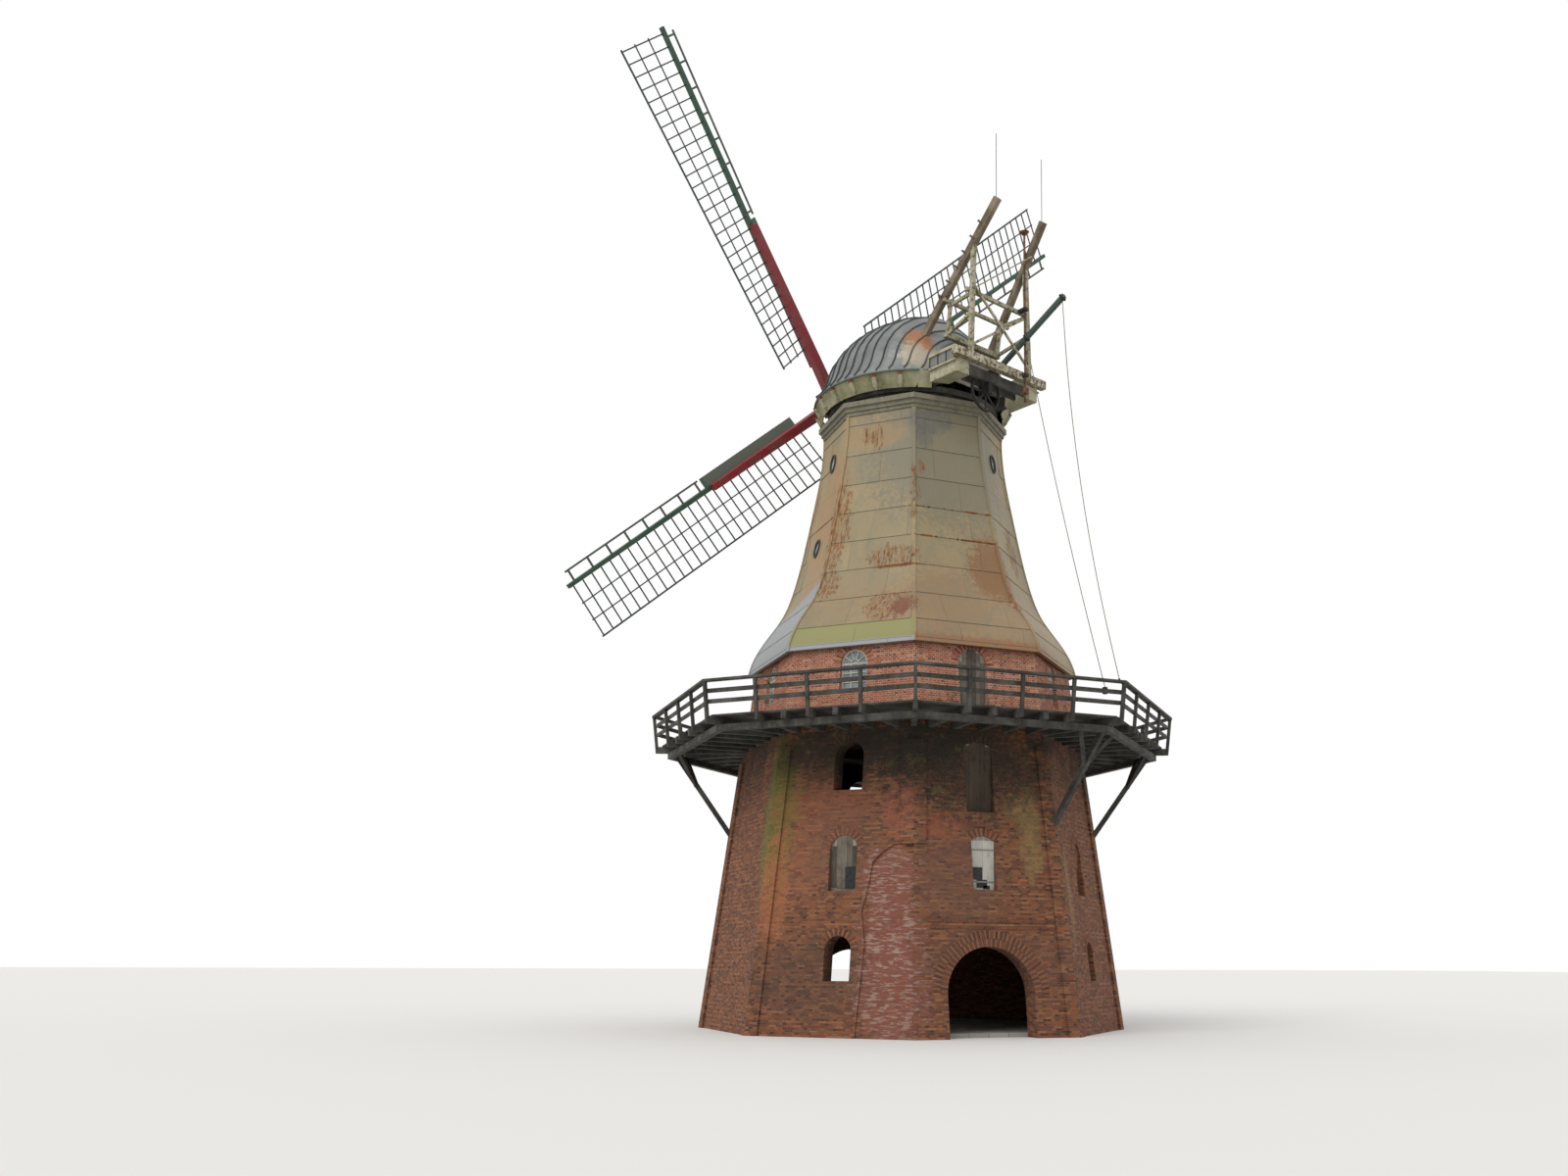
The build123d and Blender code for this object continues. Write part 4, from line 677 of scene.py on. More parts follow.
def brickSkinTree():
    # stretchers and headers row by row, set on what a ray finds of the wall
    tree, source, index = startTree("brickSkin", Object="wall rings", Float="angle", Int="seed")
    seed, columns, header = source["seed"], brickWall["columns"], brickWall["header"]
    row = reckon("FLOOR", (index + 0.5) / columns)
    column = index - row * columns - columns / 2
    evenRow = row % 2.0 < 0.5
    spare = evenRow * (1.0 - (column % 2.0 < 0.5))
    height = (row + 0.5) * brickWall["course"]
    length = (evenRow + 1.0) * header - brickWall["joint"]
    sine, cosine = reckon("SINE", source["angle"]), reckon("COSINE", source["angle"])
    tangent, outward = point(-sine, cosine, 0.0), point(cosine, sine, 0.0)
    start = addVectors(scaled(tangent, (column + 0.5) * header), scaled(outward, skinSpec["far"]),
                       point(0.0, 0.0, height))
    inward = scaled(outward, -1.0)

    def cast(target, place):
        shape = addNode("GeometryNodeObjectInfo", {"Object": source[target]}).out("Geometry")
        ray = addNode("GeometryNodeRaycast", {"Target Geometry": shape, "Source Position": place,
                                              "Ray Direction": inward, "Ray Length": skinSpec["ray"]})
        return ray.out("Is Hit"), ray.out("Hit Distance")

    def castEnd(side, up):
        return cast("wall", addVectors(start, scaled(tangent, length * side), (0.0, 0.0, up)))

    hit, middle = cast("wall", start)
    expected = skinSpec["far"] - (brickWall["baseDistance"] - height * brickWall["batter"])
    good = logic("AND", hit, near(middle, expected, skinSpec["offFace"]))
    for up in (-skinSpec["half"], skinSpec["half"]):
        (leftHit, left), (rightHit, right) = castEnd(-0.5, up), castEnd(0.5, up)
        good = logic("AND", good, logic("AND", leftHit, rightHit))
        good = logic("AND", good, near(left, right, skinSpec["endsDiffer"]))
        good = logic("AND", good, near(left, middle, skinSpec["offMiddle"]))
    bad = logic("OR", logic("OR", logic("NOT", good), cast("rings", start)[0]), spare > 0.5)
    sink = skinSpec["proud"] - skinSpec["depth"] / 2 - chance(0.0, skinSpec["uneven"], seed)
    laid = dotsAt(columns * brickWall["rows"], addVectors(start, scaled(inward, middle - sink)), tree)
    size = point(length, skinSpec["depth"], brickWall["course"] - brickWall["joint"])
    laid = store(laid, "boxSize", size, "FLOAT_VECTOR")
    laid = store(laid, "tone", chance(0.0, 0.85, seed + 7.0) + evenRow * skinSpec["evenTone"])
    kept = addNode("GeometryNodeDeleteGeometry", {"Geometry": laid, "Selection": bad}, domain="POINT")
    turn = point(atan(brickWall["batter"]), chance(-skinSpec["wobble"], skinSpec["wobble"], seed + 3.0),
                 source["angle"] - pi / 2)
    endTree(boxesOn(kept, None, Rotation=turn))
    return tree


def archTree():
    # a ring of bricks on edge round an arched head
    tree, source, index = startTree("archBricks", Float="radius reach", Int="count seed", Vector="size place turn")
    swing = ((index + 0.5) / source["count"] * 2.0 - 1.0) * source["reach"]
    place = point(reckon("SINE", swing) * source["radius"], 0.0, reckon("COSINE", swing) * source["radius"])
    laid = store(dotsAt(source["count"], place, tree), "tone", index % 2.0 * 0.6 + chance(0.0, 0.4, source["seed"]))
    endTree(boxesOn(laid, source["size"], Rotation=point(0.0, swing, 0.0)), source)
    return tree


def boardTree():
    # upright boards side by side under a straight or arched head
    tree, source, index = startTree("boardRow", Int="count seed", Float="width thick foot spring radius drop ragged",
                                    Vector="place turn")
    width, radius, seed = source["width"], source["radius"], source["seed"]
    pitch = width / source["count"]
    along = (index + 0.5) * pitch - width / 2.0
    edge = abs(along) + pitch * 0.5
    rise = reckon("SQRT", most(radius * radius - edge * edge, 0.0))
    top = source["spring"] + (rise - source["drop"])
    foot = source["foot"] + chance(0.0, source["ragged"], seed)
    sway = chance(-fillSpec["sway"], fillSpec["sway"], seed + 5.0)
    laid = dotsAt(source["count"], point(along, sway, (top + foot) * 0.5), tree)
    laid = store(laid, "boxSize", point(pitch - fillSpec["gap"], source["thick"], top - foot), "FLOAT_VECTOR")
    laid = store(laid, "tone", chance(0.0, 1.0, seed + 9.0))
    endTree(boxesOn(laid, None), source)
    return tree


# two thin ropes from the brake pole, points on the cap's axes in metres
brakeRopes = {"diameter": 0.024, "routes": {
    "brake_rope_tip": {"length": 11.75, "end": "knot", "points": [
        (-5.640, -0.800, 21.534), (-5.709, -0.834, 20.086), (-5.820, -0.867, 18.638), (-5.972, -0.901, 17.190),
        (-6.165, -0.934, 15.742), (-6.399, -0.968, 14.294), (-6.675, -1.001, 12.846), (-6.992, -1.035, 11.398),
        (-7.350, -1.068, 9.950)]},
    "brake_rope_middle": {"length": 11.07, "end": "fitting", "points": [
        (-4.200, -0.800, 20.781), (-4.416, -0.922, 19.427), (-4.644, -1.044, 18.074), (-4.885, -1.165, 16.720),
        (-5.138, -1.287, 15.366), (-5.404, -1.409, 14.012), (-5.682, -1.531, 12.658), (-5.973, -1.652, 11.304),
        (-6.276, -1.774, 9.950)]}}}


def hangRopes():
    hemp = ropeMaterial("greyHemp")
    for name, route in brakeRopes["routes"].items():
        curve = setAll(bpy.data.curves.new(name, "CURVE"), dimensions="3D", bevel_depth=brakeRopes["diameter"] / 2,
                       bevel_resolution=2, resolution_u=6, use_fill_caps=True)
        spline = curve.splines.new("NURBS")
        places = [capPoint(*p) for p in route["points"]]
        spline.points.add(len(places) - 1)
        for dot, place in zip(spline.points, places):
            dot.co = (*place, 1.0)
        setAll(spline, order_u=3, use_endpoint_u=True)
        curve.materials.append(hemp)
        rope = addObject(name, curve)
        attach(rope, "brake_lever")
        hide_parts("brake_ropes")


setCamera()
setStudio()
hangRopes()
print("ropes hung")

# all looks by what makes them: name, pieces of the solids that wear it, colours, then wear, direction and the like
capTurn = -capYaw
lookTable = {
    brickMaterial: [("laidBrick", ""), ("bandBrick", "")] + [
        ("brick_" + side, "brick_wall_" + side, angle) for side, angle in wallAngles.items()],
    sheetMaterial: [("smockSheet", ""), ("smockStrip", "smock_sides_diagonal smock_sides_square smock_corner_strips",
                                         False)],
    roofMaterial: [("roofSheet", "cap_roof"), ("seamSheet", "", 0.32)],
    eavesMaterial: [("eavesPaint", "eaves_soffit")],
    glassMaterial: [("oldGlass", "window_panes")],
    stoneMaterial: [("stoneFlags", "stone_floor")],
    timberMaterial: [
        ("darkTimber", "gallery_deck gallery_joists gallery_ring_beam gallery_struts gallery_posts gallery_rails "
         "cap_ring cap_tail_beams cap_cross_beams cap_curb shaft_bearings", (0.011, 0.010, 0.009),
         (0.050, 0.047, 0.040), 0.0, "z", 0.0, 0.30),
        ("floorTimber", "tower_floors smock_floors", (0.10, 0.07, 0.05), (0.25, 0.19, 0.13), 0.0, "y", 0.18),
        ("beamTimber", "floor_beams", (0.09, 0.06, 0.04), (0.2, 0.15, 0.1), 0.0, "x"),
        ("bareBoards", "gallery_doors boarded_shutters", (0.12, 0.10, 0.08), (0.34, 0.30, 0.25), 0.0, "z", 0.16),
        ("gableBoards", "cap_gables", (0.12, 0.10, 0.08), (0.34, 0.30, 0.25), capTurn, "y"),
        ("fanTimber", "fan_beams", (0.045, 0.030, 0.020), (0.20, 0.155, 0.10), capTurn, "x", 0.0, 0.45)],
    peelingMaterial: [
        ("stagePaint", "stage_posts stage_rails stage_braces", (0.42, 0.385, 0.28), (0.10, 0.075, 0.045), 0.5),
        ("casingPaint", "tail_casings", (0.44, 0.41, 0.29), (0.10, 0.085, 0.05), 0.30),
        ("crossBeamPaint", "tail_cross_beam", (0.50, 0.47, 0.36), (0.13, 0.08, 0.045), 0.62),
        ("bracketCream", "", (0.40, 0.37, 0.26), (0.10, 0.085, 0.05), 0.3)],
    paintMaterial: [
        ("cornicePaint", "smock_cornice", (0.20, 0.185, 0.125), (0.10, 0.085, 0.06), 0.45, 0.6),
        ("bracketPaint", "eaves_brackets", (0.36, 0.33, 0.22), (0.25, 0.06, 0.035), 0.25),
        ("framePaint", "gallery_window_frames", (0.55, 0.52, 0.42), (0.25, 0.21, 0.16), 0.3),
        ("portPaint", "porthole_frames", (0.035, 0.038, 0.038), (0.12, 0.09, 0.06), 0.2),
        ("sashPaint", "", (0.60, 0.57, 0.48), (0.25, 0.21, 0.16), 0.25),
        # painted shade: near-black for the holes in the boarded windows
        ("holeDark", "", (0.006, 0.006, 0.007), (0.03, 0.035, 0.04), 0.2, 0.1),
        ("railPaint", "", (0.22, 0.21, 0.18), (0.10, 0.09, 0.07), 0.35),
        ("rimPaint", "", (0.045, 0.075, 0.045), (0.06, 0.06, 0.05), 0.3),
        ("bracketRed", "", (0.24, 0.025, 0.02), (0.16, 0.12, 0.09), 0.35),
        ("casingGrey", "", (0.20, 0.21, 0.19), (0.12, 0.12, 0.10), 0.35),
        ("stripPaint", "", (0.035, 0.045, 0.04), (0.10, 0.09, 0.07), 0.25)],
    rustMaterial: [
        ("rustedIron", "winding_wheel winding_wheel_hanger brake_bracket lightning_rods poll_end windshaft "
         "drive_shaft_bearings rope_fittings", (0.022, 0.021, 0.020), (0.11, 0.045, 0.02), 0.22),
        ("rustyShaft", "fan_drive_shaft", (0.045, 0.028, 0.02), (0.10, 0.045, 0.025), 0.7)],
    sailMaterial: [
        ("stockPaint", "sail_stocks", (0.23, 0.010, 0.016), (0.23, 0.010, 0.016), 0.1),
        ("whipPaint", "sail_whips", (0.045, 0.040, 0.030), (0.020, 0.075, 0.045)),
        ("latticePaint", "sail_lattices", (0.022, 0.045, 0.035), (0.020, 0.040, 0.032)),
        ("boardPaint", "leading_boards", (0.10, 0.12, 0.095), (0.03, 0.10, 0.06)),
        ("ladderPaint", "leading_ladders", (0.06, 0.075, 0.06), (0.05, 0.07, 0.055)),
        ("polePaint", "brake_pole", (0.03, 0.06, 0.045), (0.03, 0.06, 0.045))],
    boardMaterial: [
        ("oldPlanks", "", (0.045, 0.035, 0.028), (0.20, 0.17, 0.13)),
        ("sootyPlanks", "", (0.022, 0.016, 0.011), (0.10, 0.07, 0.045)),
        ("whiteBoards", "", (0.30, 0.29, 0.26), (0.62, 0.60, 0.55))]}
for make, rows in lookTable.items():
    for look, pieces, *values in rows:
        looks[look] = make(look, *values)
        for piece in pieces.split():
            coat(nodes[piece].data, look)
print("carried-over nodes dressed")

# openings of each side: off centre, width, sill, crown, rise, rings of bricks over it, what fills it
shutter, vent = (0.0, 0.82, 3.96, 5.49, 0.33, 1, "shutter"), (0.0, 0.87, 6.77, 8.15, 0.42, 1, None)
sash = (0.0, 0.83, 9.62, 10.86, 0.415, 1, "sash")
wallOpenings = {
    "front": [(-0.12, 2.60, 0.0, 2.45, 1.30, 2, None), (-0.12, 0.72, 3.98, 5.48, 0.15, 1, "white"),
              (-0.12, 0.85, 6.15, 8.12, 0.11, 1, "planks"), (-0.12, 0.88, 8.73, 10.86, 0.44, 1, "door")],
    "front_left": [(0.12, 0.78, 1.50, 2.72, 0.39, 1, None), (0.12, *shutter[1:]), (0.12, *vent[1:]),
                   (0.07, *sash[1:])],
    "front_right": [(-0.12, 0.60, 1.50, 2.62, 0.30, 1, None), (-0.12, 0.76, 3.98, 5.52, 0.38, 1, "bricked"),
                    (-0.20, 0.70, 9.62, 10.85, 0.35, 1, "sash")],
    "right": [shutter, sash], "left": [sash], "back_right": [shutter, vent, sash], "back_left": [shutter, vent, sash],
    "back": [(0.0, 2.60, 0.0, 2.45, 1.30, 2, None), shutter, vent, (0.0, 0.88, 8.73, 10.86, 0.44, 1, "door")]}
ringSpec = {"brick": 0.215, "pitch": 0.068, "joint": 0.010, "depth": 0.045, "proud": 0.012, "edge": 0.006,
            "least": 5, "shrink": 0.7}
fillSpec = {"door": {"inset": 0.150, "boards": 6, "thick": 0.024, "foot": 0.02, "ragged": 0.01},
            "planks": {"inset": 0.140, "boards": 5, "thick": 0.024, "foot": 0.02, "ragged": 0.01},
            "shutter": {"inset": 0.120, "boards": 5, "thick": 0.022, "foot": 0.03, "ragged": 0.09},
            "white": {"inset": 0.120, "boards": 2, "thick": 0.020, "foot": 0.02, "ragged": 0.01},
            "room": 0.012, "under": 0.004, "drop": -0.022, "gap": 0.006, "sway": 0.004}
sashSpec = {"wide": 0.030, "deep": 0.034, "inset": 0.140, "proud": 0.012, "edge": 0.0495, "hub": 0.13, "rays": 5,
            "spring": 1.5, "fan": 0.8}

# the boarded windows: broken places by side, from, to, low, high, inset; rails by side, from, to, height, inset
windowHoles = {"thick": 0.006, "railWide": 0.04, "railThick": 0.012, "middle": 4.73, "holes": [
    (-90, -0.42, -0.12, 4.28, 4.62, 0.1055), (-90, -0.30, 0.02, 4.06, 4.28, 0.1055),
    (-90, -0.10, 0.10, 4.02, 4.12, 0.1055), (-135, 0.14, 0.46, 4.02, 4.62, 0.105)],
    "rails": [(-90, -0.46, 0.22, 5.10, 0.105), (-90, -0.46, 0.22, 4.22, 0.102)]}


def archOf(width, crown, rise):
    radius = (width * width / 4 + rise * rise) / (2 * rise)
    return radius, crown - radius, asin(min(1.0, width / 2 / radius))


def tubeMesh(name, tubes):
    # tubes of four corners, each a list of rings of places
    shape = bmesh.new()
    for places in tubes:
        rings = [[shape.verts.new(place) for place in ring] for ring in places]
        for a, b in zip(rings, rings[1:]):
            for i in range(4):
                shape.faces.new((a[i], a[(i + 1) % 4], b[(i + 1) % 4], b[i]))
        shape.faces.new(rings[0])
        shape.faces.new(rings[-1])
    bmesh.ops.recalc_face_normals(shape, faces=shape.faces)
    mesh = bpy.data.meshes.new(name)
    shape.to_mesh(mesh)
    shape.free()
    return mesh


def barMesh(name, bars):
    # straight bars: start, end, width, depth and the direction of the depth
    tubes = []
    for start, end, wide, deep, outward in bars:
        run = (end - start).normalized()
        side = run.cross(outward).normalized()
        top = side.cross(run)
        tubes.append([[place + side * (s * wide / 2) + top * (t * deep / 2)
                       for s, t in ((-1, -1), (1, -1), (1, 1), (-1, 1))] for place in (start, end)])
    return tubeMesh(name, tubes)


def addBars(name, bars, look, body="cap"):
    # those of the cap are given on its own axes
    mesh = barMesh(name, bars)
    if body == "cap":
        mesh.transform(Matrix.Rotation(capYaw, 4, "Z"))
    addPiece(name, mesh, look, body)


def wallBar(angle, reach, start, end, wide, deep):
    # upright before one side, its ends given across and up
    places = (onUpright(angle, *end, reach) for end in (start, end))
    return (*places, wide, deep, facing(angle))


def ringMeshes(tree, angle, entry, seed):
    along, width, _, crown, rise, rings, _ = entry
    radius, centre, reach = archOf(width, crown, rise)
    made = []
    for i in range(rings):
        middle = radius + ringSpec["edge"] + ringSpec["brick"] * (i + 0.5) + ringSpec["joint"] * i
        count = max(ringSpec["least"], round(2 * reach * middle / ringSpec["pitch"]))
        wide = 2 * reach * (middle - ringSpec["brick"] / 2) / count - ringSpec["joint"] * ringSpec["shrink"]
        made.append(growMesh(tree, {
            "radius": middle, "count": count, "reach": reach, "size": (wide, ringSpec["depth"], ringSpec["brick"]),
            "place": onWall(angle, along, centre, ringSpec["depth"] / 2 - ringSpec["proud"]),
            "turn": (atan(brickWall["batter"]), 0.0, radians(angle - 90)), "seed": seed + i}))
    return made


def fillMesh(tree, angle, entry, seed):
    along, width, sill, crown, rise, _, kind = entry
    spec = fillSpec[kind]
    radius, centre, _ = archOf(width, crown, rise)
    return growMesh(tree, {
        "count": spec["boards"], "width": width - fillSpec["room"], "thick": spec["thick"],
        "foot": sill + spec["foot"], "spring": centre, "radius": radius - fillSpec["under"],
        "drop": fillSpec["drop"], "ragged": spec["ragged"], "turn": (0.0, 0.0, radians(angle - 90)), "seed": seed,
        "place": onUpright(angle, along, 0.0, wallReach((sill + crown) / 2, spec["inset"]))})


def sashBars(angle, entry):
    # glazing bars: two upright, three level, and a fan in the head
    along, width, sill, crown, rise, _, _ = entry
    radius, centre, _ = archOf(width, crown, rise)
    reach = wallReach((sill + crown) / 2, sashSpec["inset"]) + sashSpec["proud"]
    edge, hub, fan, rays = (sashSpec[key] for key in ("edge", "hub", "fan", "rays"))
    half, spring, far = width / 2 - edge, crown - rise, radius - edge

    def bar(u0, z0, u1, z1, share=1.0):
        return wallBar(angle, reach, (along + u0, z0), (along + u1, z1), sashSpec["wide"] * share, sashSpec["deep"])

    bars = [bar(-half, spring, half, spring, sashSpec["spring"])]
    for share in (1 / 3, 2 / 3):
        height = sill + edge + (spring - sill - edge) * share
        bars.append(bar(-half, height, half, height))
    for u in (-half / 3, half / 3):
        bars.append(bar(u, sill + edge, u, spring))
    for swing in (pi * i / rays for i in range(1, rays)):
        bars.append(bar(hub * cos(swing), spring + hub * sin(swing), far * cos(swing), centre + far * sin(swing), fan))
    for i in range(rays + 1):
        a, b = pi * i / (rays + 1), pi * (i + 1) / (rays + 1)
        bars.append(bar(hub * cos(a), spring + hub * sin(a), hub * cos(b), spring + hub * sin(b), fan))
    return bars


def breakWindows():
    # near-black sheets behind the broken boards, as painted shade in the holes, and the rails across them
    reach, holes, rails = wallReach(windowHoles["middle"]), [], []
    for angle, left, right, low, high, inset in windowHoles["holes"]:
        middle = (left + right) / 2
        holes.append(wallBar(angle, reach - inset, (middle, low), (middle, high), right - left, windowHoles["thick"]))
    for angle, left, right, height, inset in windowHoles["rails"]:
        rails.append(wallBar(angle, reach - inset, (left, height), (right, height), windowHoles["railWide"],
                             windowHoles["railThick"]))
    # the holes are near-black sheets of painted shade
    addBars("window_holes", holes, "holeDark", "tower")
    addBars("window_rails", rails, "railPaint", "tower")


def layBricks():
    arch, skin, boards = archTree(), brickSkinTree(), boardTree()
    fills = {"door": "oldPlanks", "shutter": "oldPlanks", "planks": "sootyPlanks", "white": "whiteBoards"}
    glazing = []
    for number, (side, angle) in enumerate(wallAngles.items()):
        seed = 100 * number
        heads = []
        for place, entry in enumerate(wallOpenings[side]):
            heads += ringMeshes(arch, angle, entry, seed + 10 * place)
        tones = [item.value for head in heads for item in head.attributes["tone"].data]
        rings = addPiece("arch_bricks_" + side, newMesh("arch_bricks_" + side, *gather(heads), tones), "laidBrick")
        laid = growMesh(skin, {"wall": nodes["brick_wall_" + side], "rings": rings, "angle": radians(angle),
                               "seed": seed + 1})
        addPiece("laid_bricks_" + side, laid, "laidBrick")
        for place, entry in enumerate(wallOpenings[side]):
            kind = entry[-1]
            if kind in fills:
                addPiece(kind + "_boards_" + side, fillMesh(boards, angle, entry, seed + 50 + place), fills[kind])
            elif kind == "sash":
                glazing += sashBars(angle, entry)
    addBars("glazing_bars", glazing, "sashPaint", "tower")


layBricks()
breakWindows()
print("bricks, boards and glazing bars laid")


def smockReach(skin, angle, height):
    outward = facing(angle)
    start = onUpright(angle, sheetSpec["castBeside"], height, sheetSpec["castFrom"])
    return skin.ray_cast(start, -outward)[0].dot(outward)


def addSheet(parts, angle, reachAt, low, high, left, right, tone):
    # one sheet: an outer face, an inner face and the four edges between them
    points, faces, tones = parts
    tall, wide = sheetSpec["grid"]
    base = len(points)
    for layer in (0, 1):
        for i in range(tall + 1):
            height = low + (high - low) * i / tall
            reach = reachAt(height)
            limit = reach * tan(radians(22.5)) - sheetSpec["strip"]
            lift = sheetSpec["lift"] + sheetSpec["lip"] * (1 - i / tall) - sheetSpec["thick"] * layer
            first, last = max(left, -limit), min(right, limit)
            for j in range(wide + 1):
                along = first + (last - first) * j / wide
                bulge = fieldNoise.noise(Vector((along * 2.1 + angle, height * 2.3, 1.7))) * sheetSpec["dent"]
                points.append(onUpright(angle, along, height, reach + lift + bulge))
                tones.append(tone)
    row = wide + 1
    far = (tall + 1) * row
    for i in range(tall):
        for j in range(wide):
            a = base + i * row + j
            faces.append((a, a + 1, a + row + 1, a + row))
            faces.append((a + far + row, a + far + row + 1, a + far + 1, a + far))
    rim = [base + j for j in range(wide)] + [base + i * row + wide for i in range(tall)]
    rim += [base + tall * row + j for j in range(wide, 0, -1)] + [base + i * row for i in range(tall, 0, -1)]
    for a, b in zip(rim, rim[1:] + rim[:1]):
        faces.append((b, a, a + far, b + far))


def cutPortholes(piece, angle, reachAt):
    span = portholeCut["span"]
    for height in portholes.get(angle, []):
        cutter = bmesh.new()
        bmesh.ops.create_cone(cutter, cap_ends=True, segments=48, radius1=0.5, radius2=0.5, depth=1.0)
        lean = atan2(reachAt(height - span) - reachAt(height + span), 2 * span)
        turn = Matrix.Rotation(radians(angle), 4, "Z") @ Matrix.Rotation(pi / 2 - lean, 4, "Y")
        size = Matrix.Diagonal((portholeCut["high"], portholeCut["wide"], portholeCut["deep"], 1.0))
        cutter.transform(Matrix.Translation(onUpright(angle, 0.0, height, reachAt(height))) @ turn @ size)
        tool = addObject("porthole_cutter", bpy.data.meshes.new("porthole_cutter"))
        cutter.to_mesh(tool.data)
        cutter.free()
        setAll(piece.modifiers.new("porthole", "BOOLEAN"), operation="DIFFERENCE", solver="EXACT", object=tool)
        made = plainMesh(piece)
        piece.modifiers.clear()
        piece.data = made
        bpy.data.objects.remove(tool)


def hangSheets():
    skin = surfaceOf("smock_sides_diagonal", "smock_sides_square")
    rows, step = sheetSpec["rows"], sheetSpec["step"]
    for side, angle in wallAngles.items():
        table = [smockReach(skin, angle, rows[0] + step * i) for i in range(sheetSpec["steps"])]

        def reachAt(height, table=table):
            place = min(max((height - rows[0]) / step, 0.0), len(table) - 1.001)
            i = int(place)
            return table[i] + (table[i + 1] - table[i]) * (place - i)

        parts = [], [], []
        for i, (low, high) in enumerate(zip(rows, rows[1:])):
            limit = reachAt(low) * tan(radians(22.5))
            left = -limit - (limit * 7.3 + sheetSpec["shift"][i] + angle * 0.013) % sheetSpec["long"]
            top = min(high + sheetSpec["lap"], sheetSpec["top"])
            while left < limit:
                right = left + sheetSpec["long"]
                if min(right, limit) - max(left, -limit) > sheetSpec["least"]:
                    tone = fieldNoise.noise(Vector((angle * 0.37 + left * 1.9, i * 2.7, 4.2))) * 0.5 + 0.5
                    addSheet(parts, angle, reachAt, low, top, left + sheetSpec["gap"], right - sheetSpec["gap"], tone)
                left = right
        name = "smock_sheets_" + side
        cutPortholes(addPiece(name, newMesh(name, *parts), "smockSheet"), angle, reachAt)


hangSheets()
print("smock sheeted")

# standing seams over the cap, lengths in metres on the cap's axes
seamSpec = {"foot": 19.635, "from": -2.45, "to": 2.1, "pitch": 0.36, "wide": 0.032, "high": 0.042, "sink": 0.012,
            "centre": 19.70, "taper": 0.7, "step": 2, "castFrom": 5.0, "ray": 6.0}


def seamRoof():
    skin = surfaceOf("cap_roof")
    forward = capPoint(1, 0, 0)
    half = forward * (seamSpec["wide"] / 2)
    tubes = []
    for n in range(int((seamSpec["to"] - seamSpec["from"]) / seamSpec["pitch"]) + 1):
        x = seamSpec["from"] + seamSpec["pitch"] * n
        centre = capPoint(x, 0, seamSpec["centre"])
        line = []
        for swing in range(-90, 91, seamSpec["step"]):
            outward = capPoint(0, sin(radians(swing)), cos(radians(swing)))
            place = skin.ray_cast(centre + outward * seamSpec["castFrom"], -outward, seamSpec["ray"])[0]
            if place is not None and place.z > seamSpec["foot"]:
                line.append(place)
        rings = []
        for i, place in enumerate(line):
            run = (line[min(i + 1, len(line) - 1)] - line[max(i - 1, 0)]).normalized()
            up = forward.cross(run).normalized()
            if up.dot(place - centre) < 0:
                up = -up
            low, high, lip = up * -seamSpec["sink"], up * seamSpec["high"], half * seamSpec["taper"]
            rings.append([place + s for s in (low - half, low + half, high + lip, high - lip)])
        if rings:
            tubes.append(rings)
    addPiece("roof_seams", tubeMesh("roof_seams", tubes), "seamSheet", "cap")


seamRoof()
print("roof seamed")

# trim on the cap: rim, bracket ends, casing boards, pegs; lengths in metres on the cap's axes
capTrim = {
    "rim": {"radius": 3.155, "z": 19.618, "tall": 0.050, "thick": 0.030, "step": 4, "over": 0.6, "to": 140},
    "bracket": {"inner": (2.965, 19.262), "outer": (3.112, 19.520), "size": 0.125, "end": 0.060,
                "slope": 0.0, "angles": [10 + 15 * i for i in range(9)]},
    "return": {"inner": (2.872, 19.205), "outer": (3.115, 19.640), "wide": 0.13, "thick": 0.02, "slope": -0.5,
               "angles": [141.3, 143.3, 145.3, 147.0]},
    "casing": {"x": (-2.66, -3.70), "y": 1.766, "z": (19.60, 19.99), "board": 0.016, "panels": 3, "out": 0.02},
    "strip": {"wide": 0.035, "deep": 0.022, "out": 0.012},
    "mouldings": [(20.00, 0.05, 0.09, 0.06), (19.59, 0.07, 0.05, 0.07)],
    "pegs": {"foot": (-1.725, 1.409, 20.700), "head": (-4.731, 1.003, 24.450), "count": 6, "from": 0.34, "to": 0.83,
             "inner": (0, 0.06, 0), "outer": (0, 0.25, 0.03), "thick": 0.045}}
# two string courses low on the front
bandSpec = {"heights": [2.955, 3.137], "tall": 0.075, "proud": 0.022, "deep": 0.06, "half": 1.95, "brick": 0.245,
            "joint": 0.010}
upright = Vector((0, 0, 1))


def eavesBars(spec, side, swing):
    # from the inner to the outer end of a bracket or board under the eaves
    inner, outer = (onUpright(side * swing, 0.0, spec[end][1], spec[end][0]) for end in ("inner", "outer"))
    return inner, outer, (facing(side * swing) + upright * spec["slope"]).normalized()


def trimCap():
    rim, bracket, closing = capTrim["rim"], capTrim["bracket"], capTrim["return"]
    blocks, ends, returns, size, over = [], [], [], bracket["size"], rim["step"] + rim["over"]
    rims = [(*(onUpright(turn, 0.0, rim["z"], rim["radius"]) for turn in (swing, swing + over)), rim["thick"],
             rim["tall"], upright) for swing in range(-rim["to"], rim["to"], rim["step"])]
    for side in (-1, 1):
        for swing in bracket["angles"]:
            inner, outer, away = eavesBars(bracket, side, swing)
            run = (outer - inner).normalized()
            down = (away - run * away.dot(run)).normalized()
            blocks.append((inner, outer, size, size, down))
            ends.append((outer, outer + run * bracket["end"], size, size, down))
        for swing in closing["angles"]:
            inner, outer, away = eavesBars(closing, side, swing)
            returns.append((inner, outer, closing["wide"], closing["thick"], away))
    addBars("roof_rim", rims, "rimPaint")
    addBars("eaves_returns", returns, "eavesPaint")
    addBars("bracket_blocks", blocks, "bracketCream")
    addBars("bracket_ends", ends, "bracketRed")


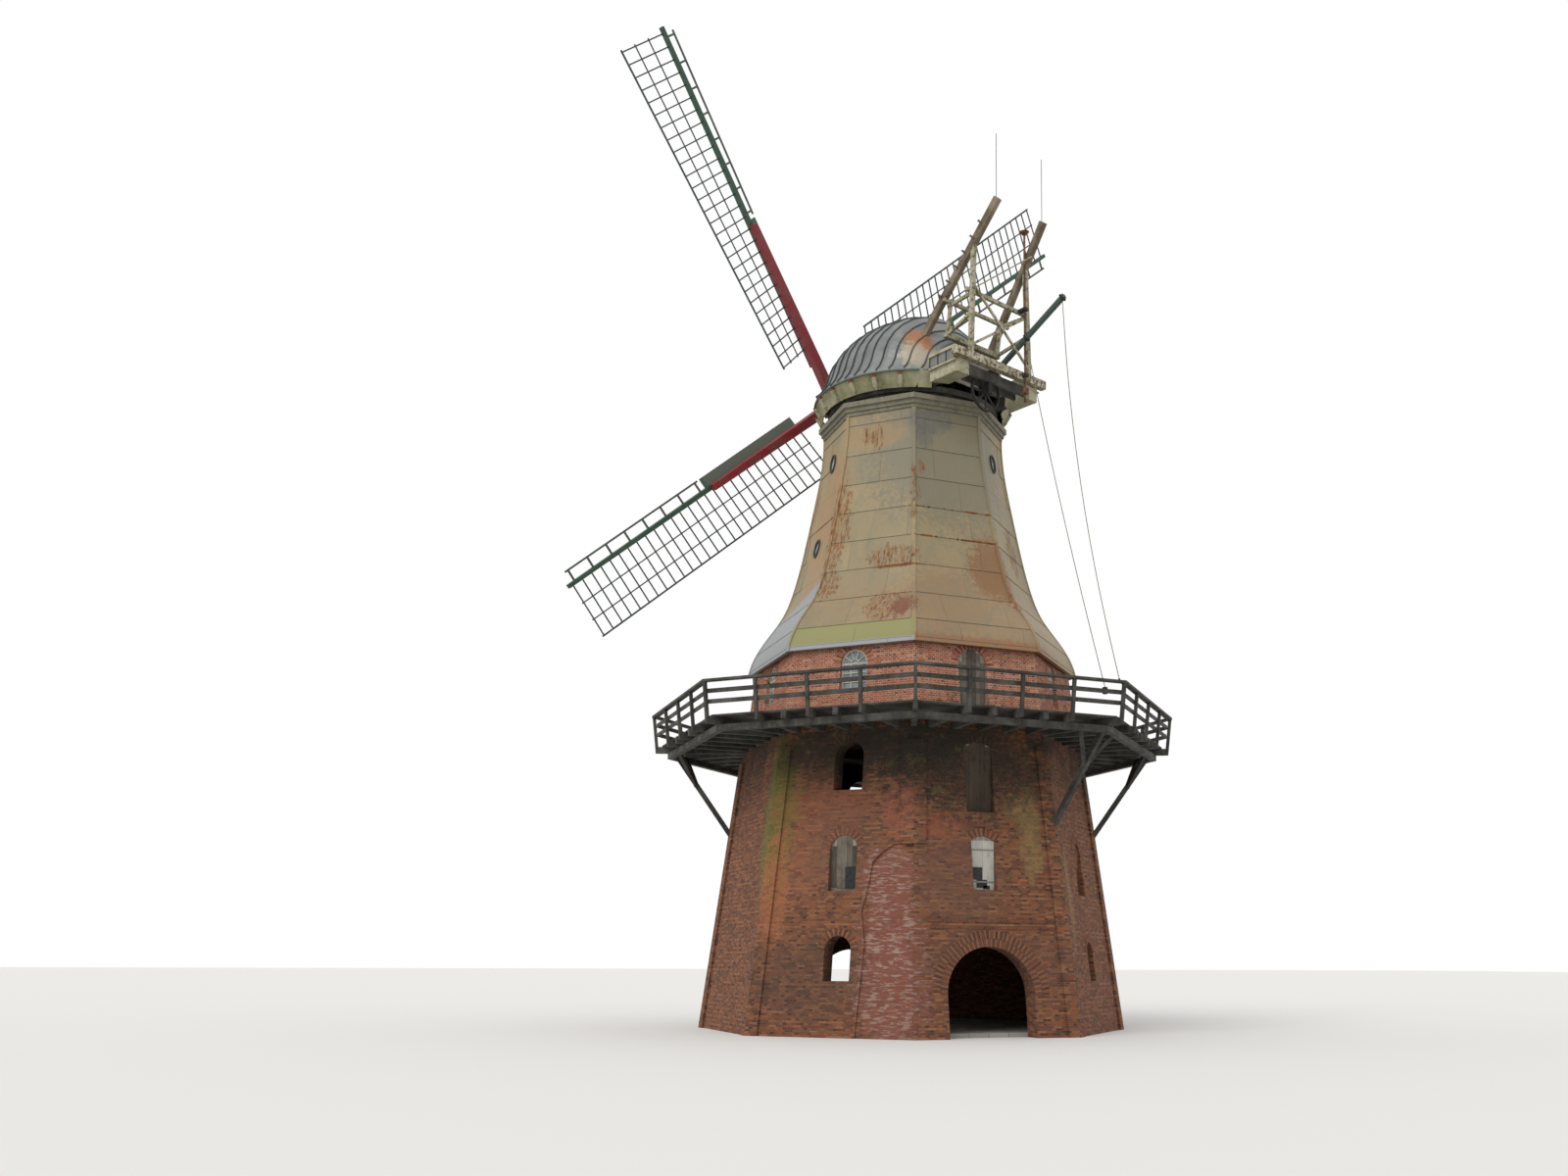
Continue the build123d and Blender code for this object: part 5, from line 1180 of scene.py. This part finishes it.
def boardCasings():
    # panels, upright strips, a cap and a foot moulding on the outside of both casings
    spec, strip = capTrim["casing"], capTrim["strip"]
    near, far = spec["x"]
    low, high = spec["z"]
    panels, strips, mouldings, middle, board = [], [], [], (low + high) / 2, spec["board"]

    def bar(out, x0, z0, x1, z1, wide, deep):
        y = side * (spec["y"] + out)
        return Vector((x0, y, z0)), Vector((x1, y, z1)), wide, deep, Vector((0, side, 0))

    for side in (-1, 1):
        panels.append(bar(board / 2, near, middle, far, middle, high - low, board))
        for i in range(spec["panels"] + 1):
            x = near + (far - near) * i / spec["panels"]
            strips.append(bar(board + strip["out"], x, low, x, high, strip["wide"], strip["deep"]))
        for height, over, wide, deep in capTrim["mouldings"]:
            mouldings.append(bar(board + spec["out"], near, height, far - over, height, wide, deep))
    addBars("casing_panels", panels, "casingGrey")
    addBars("casing_strips", strips, "stripPaint")
    addBars("casing_mouldings", mouldings, "casingPaint")


def pegBeam():
    spec = capTrim["pegs"]
    bars = []
    for i in range(spec["count"]):
        share = spec["from"] + (spec["to"] - spec["from"]) * i / (spec["count"] - 1)
        at = Vector(spec["foot"]).lerp(Vector(spec["head"]), share)
        bars.append((at + Vector(spec["inner"]), at + Vector(spec["outer"]), spec["thick"], spec["thick"], upright))
    addBars("beam_pegs", bars, "fanTimber")


def bandBricks():
    bars = []
    lean = atan(brickWall["batter"])
    outward = facing(-90) * cos(lean) + upright * sin(lean)
    count = round(2 * bandSpec["half"] / bandSpec["brick"])
    pitch, inset = 2 * bandSpec["half"] / count, bandSpec["deep"] / 2 - bandSpec["proud"]
    for height in bandSpec["heights"]:
        for i in range(count):
            left = pitch * i - bandSpec["half"] + bandSpec["joint"] / 2
            bars.append((onWall(-90, left, height, inset), onWall(-90, left + pitch - bandSpec["joint"], height, inset),
                         bandSpec["tall"], bandSpec["deep"], outward))
    mesh = barMesh("string_courses", bars)
    setTones(mesh, [0.3 + 0.5 * fieldNoise.noise(v.co * 7.3) for v in mesh.vertices])
    addPiece("string_courses", mesh, "bandBrick")


trimCap()
boardCasings()
pegBeam()
bandBricks()
print("trim added")

# the floor; the backdrop is the pale world
floorMesh = bpy.data.meshes.new("studioFloor")
half = studio["floorSize"] / 2
floorMesh.from_pydata([(-half, -half, 0), (half, -half, 0), (half, half, 0), (-half, half, 0)], [], [(0, 1, 2, 3)])
floorMesh.materials.append(finish(startMaterial("studioFloor")[0], studio["floorColour"], 0.9))
floor = addObject("studioFloor", floorMesh)
